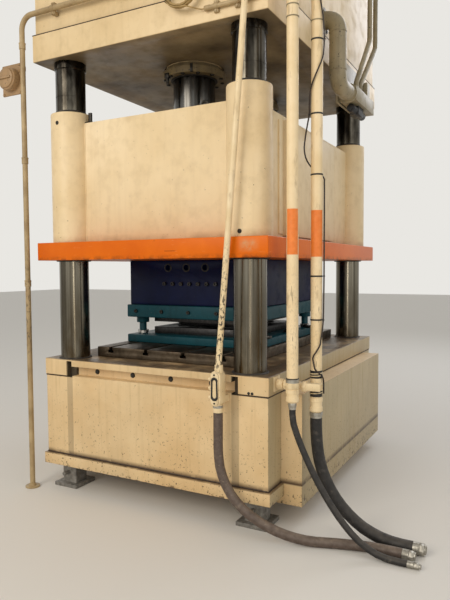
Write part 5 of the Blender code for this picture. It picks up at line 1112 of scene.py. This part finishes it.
# The pull box under the leaning conduit
x, y, low, high = 0.581, -1.221, 0.752, 0.957
width, depth = 0.033, 0.034
parts = [
    pill("body", (x - width, y - depth, low), (x + width, y + depth, high), 0.031),
    pill("cover", (x - 0.025, y - depth - 0.0095, low + 0.008), (x + 0.025, y - depth + 0.004, high - 0.008), 0.0235),
    turned("hub", [(0.022, high - 0.012), (0.026, high - 0.010), (0.026, 0.975), (0.0245, 0.977), (0.0245, 0.989),
                   (0.022, 0.991), (0.0182, 0.991)], ROUND_SIDES, (0.588, y, 0)),
    nut(0.031, 0.722, 0.742, (x, y, 0), edge=0.001, segments=1),
    turned("gland_sleeve", [(0.027, 0.712), (0.0295, 0.713), (0.0295, 0.750), (0.0295, 0.760)], ROUND_SIDES, (x, y, 0)),
    block("foot", (0.556, y + 0.02, 0.765), (0.606, -1.1278, 0.804)),
]
for share in (0.22, 0.48, 0.74):
    z = low + 0.205 * share
    parts.append(turned("nipple", [(0.0105, -0.059), (0.013, -0.057), (0.013, -0.044), (0.010, -0.043), (0.010, -0.036),
                                   (0.013, -0.035), (0.013, -0.020)], SMALL_SIDES, (x, y, z), "X"))
finished(joined("pull_box_body", parts), "conduit", "pull_box")


def outline_path(half_x, half_z, centre, radius, steps):
    """Points round an upright pill shape."""
    path = []
    for index, (sign_x, sign_z) in enumerate(((1, 1), (-1, 1), (-1, -1), (1, -1))):
        for i in range(steps + 1):
            angle = math.pi / 2 * (index + i / steps)
            path.append(Vector(centre) + Vector((sign_x * (half_x - radius) + radius * math.cos(angle), 0,
                                                 sign_z * (half_z - radius) + radius * math.sin(angle))))
    return path + [path[0]]


middle = (low + high) / 2
wavy = []
for i, point in enumerate(outline_path(0.0180, 0.0640, (x, y - depth - 0.0097, middle), 0.0175, 12)):
    wavy.append(point + (Vector((x, point.y, middle)) - point).normalized() * 0.0060 * (i % 4 < 2))
gasket = pipe("pull_box_gasket", smooth_path(wavy + wavy[:1], 0.0015), 0.0054, 3)
settle(gasket, "gasket")
neck = collar("pull_box_neck", 0.0296, 0.0008, (x, y, 0.7475), "Z", 0.016)
settle(neck, "zinc")
screws = copies("pull_box_screws", socket_screw(0.006, "Y", -1), [
    (x, y - depth - 0.0095, low + 0.020), (x, y - depth - 0.0095, high - 0.020)])
settle(screws, "bolt")

# The risers' couplings down to the hoses, and the strut that holds them, built up of hexagon unions and a ring
COUPLING_R = 0.0375
for name, (x, y, low, neck, top, across) in {
    "front": (*FRONT_RISER, 0.748, 0.788, 0.866, 0.024),
    "rear": (*REAR_RISER, 0.678, 0.712, 0.800, 0.039),
}.items():
    coupling = turned("riser_coupling_body_" + name, [
        (0.022, neck - 0.001), (0.031, neck + 0.001), (0.034, neck + 0.006), (COUPLING_R, neck + 0.009),
        (COUPLING_R, neck + 0.030), (0.0345, neck + 0.034), (0.0345, top - 0.028), (COUPLING_R, top - 0.025),
        (COUPLING_R, top - 0.004), (COUPLING_R - 0.004, top), (0.030, top),
    ], ROUND_SIDES, (x, y, 0))
    settle(coupling, "riser")
    ends = joined("riser_coupling_nut_" + name, [
        nut(across, low + 0.014, neck, (x, y, 0)),
        turned("ferrule", [(across * 0.80, low), (across * 0.88, low + 0.002), (across * 0.88, low + 0.015)],
               ROUND_SIDES, (x, y, 0)),
    ])
    finished(ends, "zinc", "riser_coupling_" + name)
unions = [nut(radius, low, high, (0, STRUT_Y, STRUT_Z), "X", 0.003)
          for low, high, radius in ((0.878, 0.904, 0.0350), (0.920, 0.944, 0.0335), (1.030, 1.054, 0.0345))]
unions.append(turned("ring", [(0.0300, 0.903), (0.0315, 0.905), (0.0315, 0.911), (0.0300, 0.913)], ROUND_SIDES,
                     (0, STRUT_Y, STRUT_Z), "X"))
settle(joined("riser_strut_unions", unions), "riser")

# Oil pipes on the crown's right side
parts = [pipe("run", rounded_path(((0.875, PIPE_Y, 3.235), (PIPE_X, PIPE_Y, 3.235), (PIPE_X, PIPE_Y, 2.7975),
                                   (PIPE_X, 0.021, 2.7975)), 0.085, 14), 0.058, 14)]
parts.append(turned("wall_flange", [(0.060, -0.009), (0.083, -0.009), (0.085, -0.007), (0.085, 0.007), (0.083, 0.009),
                                    (0.064, 0.009), (0.0585, 0.016)], ROUND_SIDES, (0.8753, PIPE_Y, 3.235), "X"))
parts.append(turned("block_flange", [(0.0585, 0.016), (0.062, 0.009), (0.067, 0.009), (0.069, 0.007), (0.069, -0.007),
                                     (0.067, -0.009), (0.058, -0.009)], ROUND_SIDES, (PIPE_X, 0.0207, 2.7975), "Y"))
parts.append(collar("weld_high", 0.0575, 0.003, (PIPE_X, PIPE_Y, 3.143), "Z", 0.010))
parts.append(collar("weld_low", 0.0575, 0.003, (PIPE_X, PIPE_Y, 2.889), "Z", 0.010))
finished(joined("suction_pipe_run", parts), "oil_pipe", "suction_pipe")
wall_bolts = copies("suction_wall_bolts", bolt(0.010, "X"), ring_of(0.0735, 6, 0, "YZ", (0.8843, PIPE_Y, 3.235)))
settle(wall_bolts, "bolt")

# The two pressure tubes: where each starts on the manifold, where it rises, and the cylinder that it runs to
TUBE_TOP = 3.9765
for name, (y, rise_y, far_y) in {"front": (0.235, 0.62, -CYLINDER_Y), "back": (0.335, 0.80, CYLINDER_Y)}.items():
    node = "pressure_tube_" + name
    x, z = PIPE_X, 2.8503
    points = ((x, y, z), (x, y, 2.925), (x, rise_y, 3.36), (x, rise_y, TUBE_TOP), (0.433, far_y, TUBE_TOP),
              (0.2103, far_y, TUBE_TOP))
    finished(joined(node + "_run", [
        pipe("run", rounded_path(points, 0.05), 0.019, 8),
        nut(0.030, z, z + 0.026, (x, y, 0)),
        turned("union_sleeve", [(0.0245, z + 0.025), (0.0245, z + 0.034), (0.0195, z + 0.040)], ROUND_SIDES, (x, y, 0)),
        turned("end_union", [(0.0245, 0.0), (0.0245, 0.030), (0.0195, 0.036)], ROUND_SIDES,
               (0.2113, far_y, TUBE_TOP), "X"),
    ]), "oil_pipe", node)

# The signal cable winds down the rear riser, held by ties: height, angle round the riser, and how far it hangs off
WINDING = ((3.300, -100, 0), (3.036, -49, 0), (2.953, -26, 0), (2.8246, -2, 0), (2.721, -22, 0), (2.539, -132, 0),
           (2.415, -163, 0), (2.300, -170, 0.022), (2.220, -172, 0.032), (2.150, -190, 0.018), (2.105, -240, 0.002),
           (2.060, -320, 0), (1.980, -343, 0), (1.500, -352, 0), (1.250, -366, 0), (1.106, -402, 0), (1.030, -462, 0),
           (0.960, -436, 0), (0.915, -358, 0), (0.822, -345, 0))


def winding(z):
    """The signal cable's point at a height."""
    for (high, start, off), (low, end, next_off) in zip(WINDING, WINDING[1:]):
        if z >= low - 1e-6:
            share = (high - z) / (high - low)
            angle = math.radians(start + (end - start) * share)
            reach = 0.0431 + off + (next_off - off) * share
            return Vector((REAR_RISER[0] + reach * math.cos(angle), REAR_RISER[1] + reach * math.sin(angle), z))


path = smooth_path([winding(3.30 + (0.822 - 3.30) * i / 70) for i in range(71)], 0.02)
finished(pipe("signal_line", path, SIGNAL_R, 3), "thin_cable", "signal_cable")
ties = []
for z in (3.20, 2.8246, 2.415, 2.0756, 1.50, 1.25, 0.93):
    ties.append(collar("tie_band", RING_R, 0.0018, (*REAR_RISER, z), "Z", 0.009))
    ties.append(collar("tie_loop", SIGNAL_R + 0.0002, 0.0014, winding(z), "Z", 0.008))
settle(joined("riser_ties", ties), "tie")
rings = [collar("stain_ring", RING_R, 0.0022, (*FRONT_RISER, z), "Z", 0.007) for z in (2.9775, 2.9142)]
rings.append(collar("stain_ring", RING_R, 0.0022, (*REAR_RISER, 2.9277), "Z", 0.007))
settle(joined("riser_joint_rings", rings), "dirty")

# Rings of tape, a sleeve wound with cord, and a hose clamp at the risers' lower ends
wraps = [collar("wrap", RING_R, 0.0026, place, "Z", 0.006) for place in (
    (*REAR_RISER, 0.954), (*REAR_RISER, 0.808), (*FRONT_RISER, 0.925), (*FRONT_RISER, 0.895))]
wraps.append(collar("sleeve", RING_R, 0.0012, (*REAR_RISER, 0.933), "Z", 0.042))
wraps.append(collar("sleeve", RING_R, 0.0012, (*REAR_RISER, 0.840), "Z", 0.062))
settle(joined("riser_end_wraps", wraps), "tie")
CORD_R = 0.0034
CORD_REACH = 0.0362
cords = []
for low, high, turns in ((0.916, 0.949, 2.4), (0.815, 0.866, 3.4)):
    count = round(turns * 24)
    path = []
    for i in range(count + 1):
        angle = 2 * math.pi * turns * i / count
        path.append((REAR_RISER[0] + CORD_REACH * math.cos(angle), REAR_RISER[1] + CORD_REACH * math.sin(angle),
                     low + (high - low) * i / count))
    cords.append(pipe("cord", path, CORD_R, 3))
settle(joined("riser_end_cord", cords), "cord")
clamp = collar("riser_end_clamp", RING_R, 0.0042, (*FRONT_RISER, 0.910), "Z", 0.022)
settle(clamp, "zinc")


def band(name, place, radius, low, high, turn, half):
    """A thin curved band: part of an open cylinder, thickened outwards."""
    take(None)
    x, y = place
    bpy.ops.mesh.primitive_cylinder_add(vertices=FINE_SIDES, radius=radius, depth=high - low,
                                        end_fill_type="NOTHING", location=(x, y, (low + high) / 2))
    piece = bpy.context.object
    piece.name = name
    bpy.ops.object.mode_set(mode="EDIT")
    bpy.ops.mesh.select_all(action="DESELECT")
    bpy.ops.mesh.select_mode(type="FACE")
    bpy.ops.object.mode_set(mode="OBJECT")
    for side in piece.data.polygons:
        angle = math.degrees(math.atan2(side.center.y, side.center.x))
        side.select = abs((angle - turn + 180) % 360 - 180) > half
    bpy.ops.object.mode_set(mode="EDIT")
    bpy.ops.mesh.delete(type="FACE")
    bpy.ops.mesh.select_mode(type="VERT")
    bpy.ops.object.mode_set(mode="OBJECT")
    thick = piece.modifiers.new("thickness", "SOLIDIFY")
    thick.thickness = 0.0004
    thick.offset = 1.0
    take(piece)
    bpy.ops.object.modifier_apply(modifier=thick.name)
    return piece


# Bare orange bands on the risers, wrapped part of the way round
settle(band("riser_band_front", FRONT_RISER, RING_R, 1.6222, 1.8743, -70, 62), "vinyl")
settle(band("riser_band_rear", REAR_RISER, RING_R, 1.6109, 1.8742, -70, 70), "vinyl")

# Small things on the slide and the die set
screws = copies("die_block_screws", socket_screw(0.018, "Y", -1), [
    (-0.219 + i * 0.0717, -BLOCK_FRONT, 1.436) for i in range(7)])
settle(screws, "tool", "slide")
for i, x in enumerate((-0.191, -0.034, 0.123)):
    eye = turned("lift_bushing_%d" % i, [
        (0.0222, -0.010), (0.0222, 0.0020), (0.0295, 0.0020), (0.0315, 0.0006), (0.0315, -0.001), (0.0235, -0.001),
        (0.0235, -0.010),
    ], closed=True)
    settle(put(eye, (x, -BLOCK_FRONT, PLATE_LOW - 0.055), (90, 0, 0)), "bolt", "slide")
shoe_screws = copies("shoe_screws", socket_screw(0.016, "Y", -1), [
    (x, -SHOE_FRONT, SHOE_UP_LOW + 0.047) for x in (-0.46, -0.23, 0.0, 0.23, 0.46)])
settle(shoe_screws, "bolt", "slide")
clamps = []
for side in (-1, 1):
    for y in (-0.42, 0.0, 0.42):
        x = side * (SHOE_SIDE - 0.035)
        low_x, high_x = sorted((side * (SHOE_SIDE - 0.055), side * (SHOE_SIDE + 0.018)))
        clamps.append(block("clamp", (low_x, y - 0.022, SHOE_LOW_TOP + 0.0004),
                            (high_x, y + 0.022, SHOE_LOW_TOP + 0.020), 0.003))
        clamps.append(put(bolt(0.014, "Z"), (x, y, SHOE_LOW_TOP + 0.020)))
settle(joined("shoe_clamps", clamps), "bolt")
sleeves = []
for x in (-0.472, 0.472):
    for y in (-0.50, 0.50):
        sleeves.append(collar("sleeve", 0.0286, 0.010, (x, y, SHOE_LOW_TOP + 0.014), "Z", 0.026))
settle(joined("guide_post_collars", sleeves), "bright")

bracket = joined("slide_top_bracket", [
    block("foot", (-0.552, -1.029, SLIDE_TOP + 0.0003), (-0.497, -0.985, SLIDE_TOP + 0.008), 0.0015),
    block("post", (-0.522, -1.029, SLIDE_TOP + 0.0003), (-0.497, -1.015, 2.610), 0.0015),
])
settle(bracket, "bolt", "slide")
strips = [
    block("strip", (SLIDE_SIDE - 0.004, low, PLATE_TOP + 0.04), (SLIDE_SIDE + 0.010, high, SLIDE_TOP - 0.04), 0.003)
    for low, high in ((-0.628, -0.561), (0.470, 0.520))]
settle(joined("slide_side_strips", strips), "slide", "slide")

# Weld beads where the slide's front and back meet its bosses
offset = math.sqrt(SHELL_R ** 2 - (SLIDE_FRONT - COLUMN_Y) ** 2) + 0.0005
beads = []
for side in (-1, 1):
    for face in (-1, 1):
        x, y = side * (COLUMN_X - offset), face * (SLIDE_FRONT + 0.0005)
        beads.append(pipe("bead", [(x, y, PLATE_TOP + 0.004), (x, y, SLIDE_TOP - 0.004)], 0.0045, 3))
settle(joined("slide_boss_welds", beads), "slide", "slide")

# Bolts under the table's edge
bolts = copies("table_edge_bolts", bolt(0.016, "Y", -1), [
    (x, -BED_FRONT + 0.0705, 0.843) for x in (-0.45, -0.15, 0.15, 0.45)])
settle(bolts, "bolt")

# Ties round the spare cable's coil
ties = []
for angle in (100, 215, 330):
    turn = math.radians(angle)
    centre = Vector(COIL_CENTRE) + Vector((0.105 * math.cos(turn), 0, 0.105 * math.sin(turn)))
    loop = pipe("coil_tie", outline_path(0.0145, 0.0185, (0, 0, 0), 0.010, 4), 0.0014, 2)
    take(loop)
    loop.matrix_world = (Matrix.Translation(centre) @ Matrix.Rotation(-turn, 4, "Y")
                         @ Matrix.Rotation(math.radians(90), 4, "X"))
    bpy.ops.object.transform_apply()
    ties.append(loop)
settle(joined("coil_ties", ties), "tie")


def eyebolt(name, place, ring, thick):
    """A forged lifting eye on its collar."""
    x, y, z = place
    take(None)
    bpy.ops.mesh.primitive_torus_add(major_segments=32, minor_segments=12, major_radius=ring, minor_radius=thick,
                                     location=(x, y, z + ring + thick * 2.2), rotation=(math.radians(90), 0, 0))
    eye = bpy.context.object
    bpy.ops.object.transform_apply()
    shank = turned("shank", [(thick * 2.6, z), (thick * 2.8, z + thick * 0.5), (thick * 2.4, z + thick),
                             (thick * 1.3, z + thick * 1.6), (thick * 1.1, z + thick * 2.4)], SMALL_SIDES, (x, y, 0))
    return joined(name, [eye, shank])


# Eyebolts for the hoist stand on the crown and on the slide
for i, (x, y) in enumerate(((-0.45, -0.85), (0.45, -0.85), (-0.45, 0.85), (0.45, 0.85))):
    settle(eyebolt("crown_eyebolt_%d" % i, (x, y, CROWN_TOP + 0.0003), 0.034, 0.011), "bolt")
for i, y in enumerate((-0.86, 0.86)):
    settle(eyebolt("slide_eyebolt_%d" % i, (0.30, y, SLIDE_TOP + 0.0003), 0.026, 0.009), "bolt", "slide")

# A dark line is painted under the bed's slab as its shadow, and two small black caps sit low in the slab's front edge
# as painted shade for two notches
lines = []
for side in (-1, 1):
    corner = [(side * SLOT_SIDE, -1), (side * WALL_SIDE, -1), (side * WALL_SIDE, 1), (side * SLOT_SIDE, 1)]
    lines.append(pipe("line", [(x, face * WALL_FRONT, BED_SHOULDER - 0.0048) for x, face in corner], 0.0048, 3))
settle(joined("bed_slab_painted_shadow", lines), "sludge_and_shadow")
# Painted shade: the black caps stand in for the shade inside two notches
edge_notch_shades = copies("bed_edge_notch_shades", turned("screw", [
    (0.0085, -0.001), (0.0085, 0.002), (0.0070, 0.003), (0.0035, 0.003), (0.0030, 0.001),
], SMALL_SIDES, (0, 0, 0), "Y"), [(0.7365, -BED_FRONT, 0.8205), (0.7590, -BED_FRONT, 0.8205)])
settle(edge_notch_shades, "gasket")

# Sludge has dried in the corner between the bed's wall and its lip, and a dark line painted in the seam over the
# crown's plate stands for the shadow there
corner = [(WALL_SIDE, 1), (WALL_SIDE, -1), (-WALL_SIDE, -1), (-WALL_SIDE, 1)]
sludge_and_shadow = pipe("bed_ledge_sludge", [(x, side * WALL_FRONT, LEDGE + 0.005) for x, side in corner], 0.0055, 3)
settle(sludge_and_shadow, "sludge_and_shadow")
seam_x, seam_y = CROWN_PLATE_SIDE - 0.002, CROWN_PLATE_FRONT - 0.001
corner = [(seam_x, 1), (seam_x, -1), (-seam_x, -1), (-seam_x, 1)]
seam_shadow = pipe("crown_seam_painted_shadow", [(x, side * seam_y, CROWN_SEAM) for x, side in corner], 0.0035, 2)
settle(seam_shadow, "sludge_and_shadow")
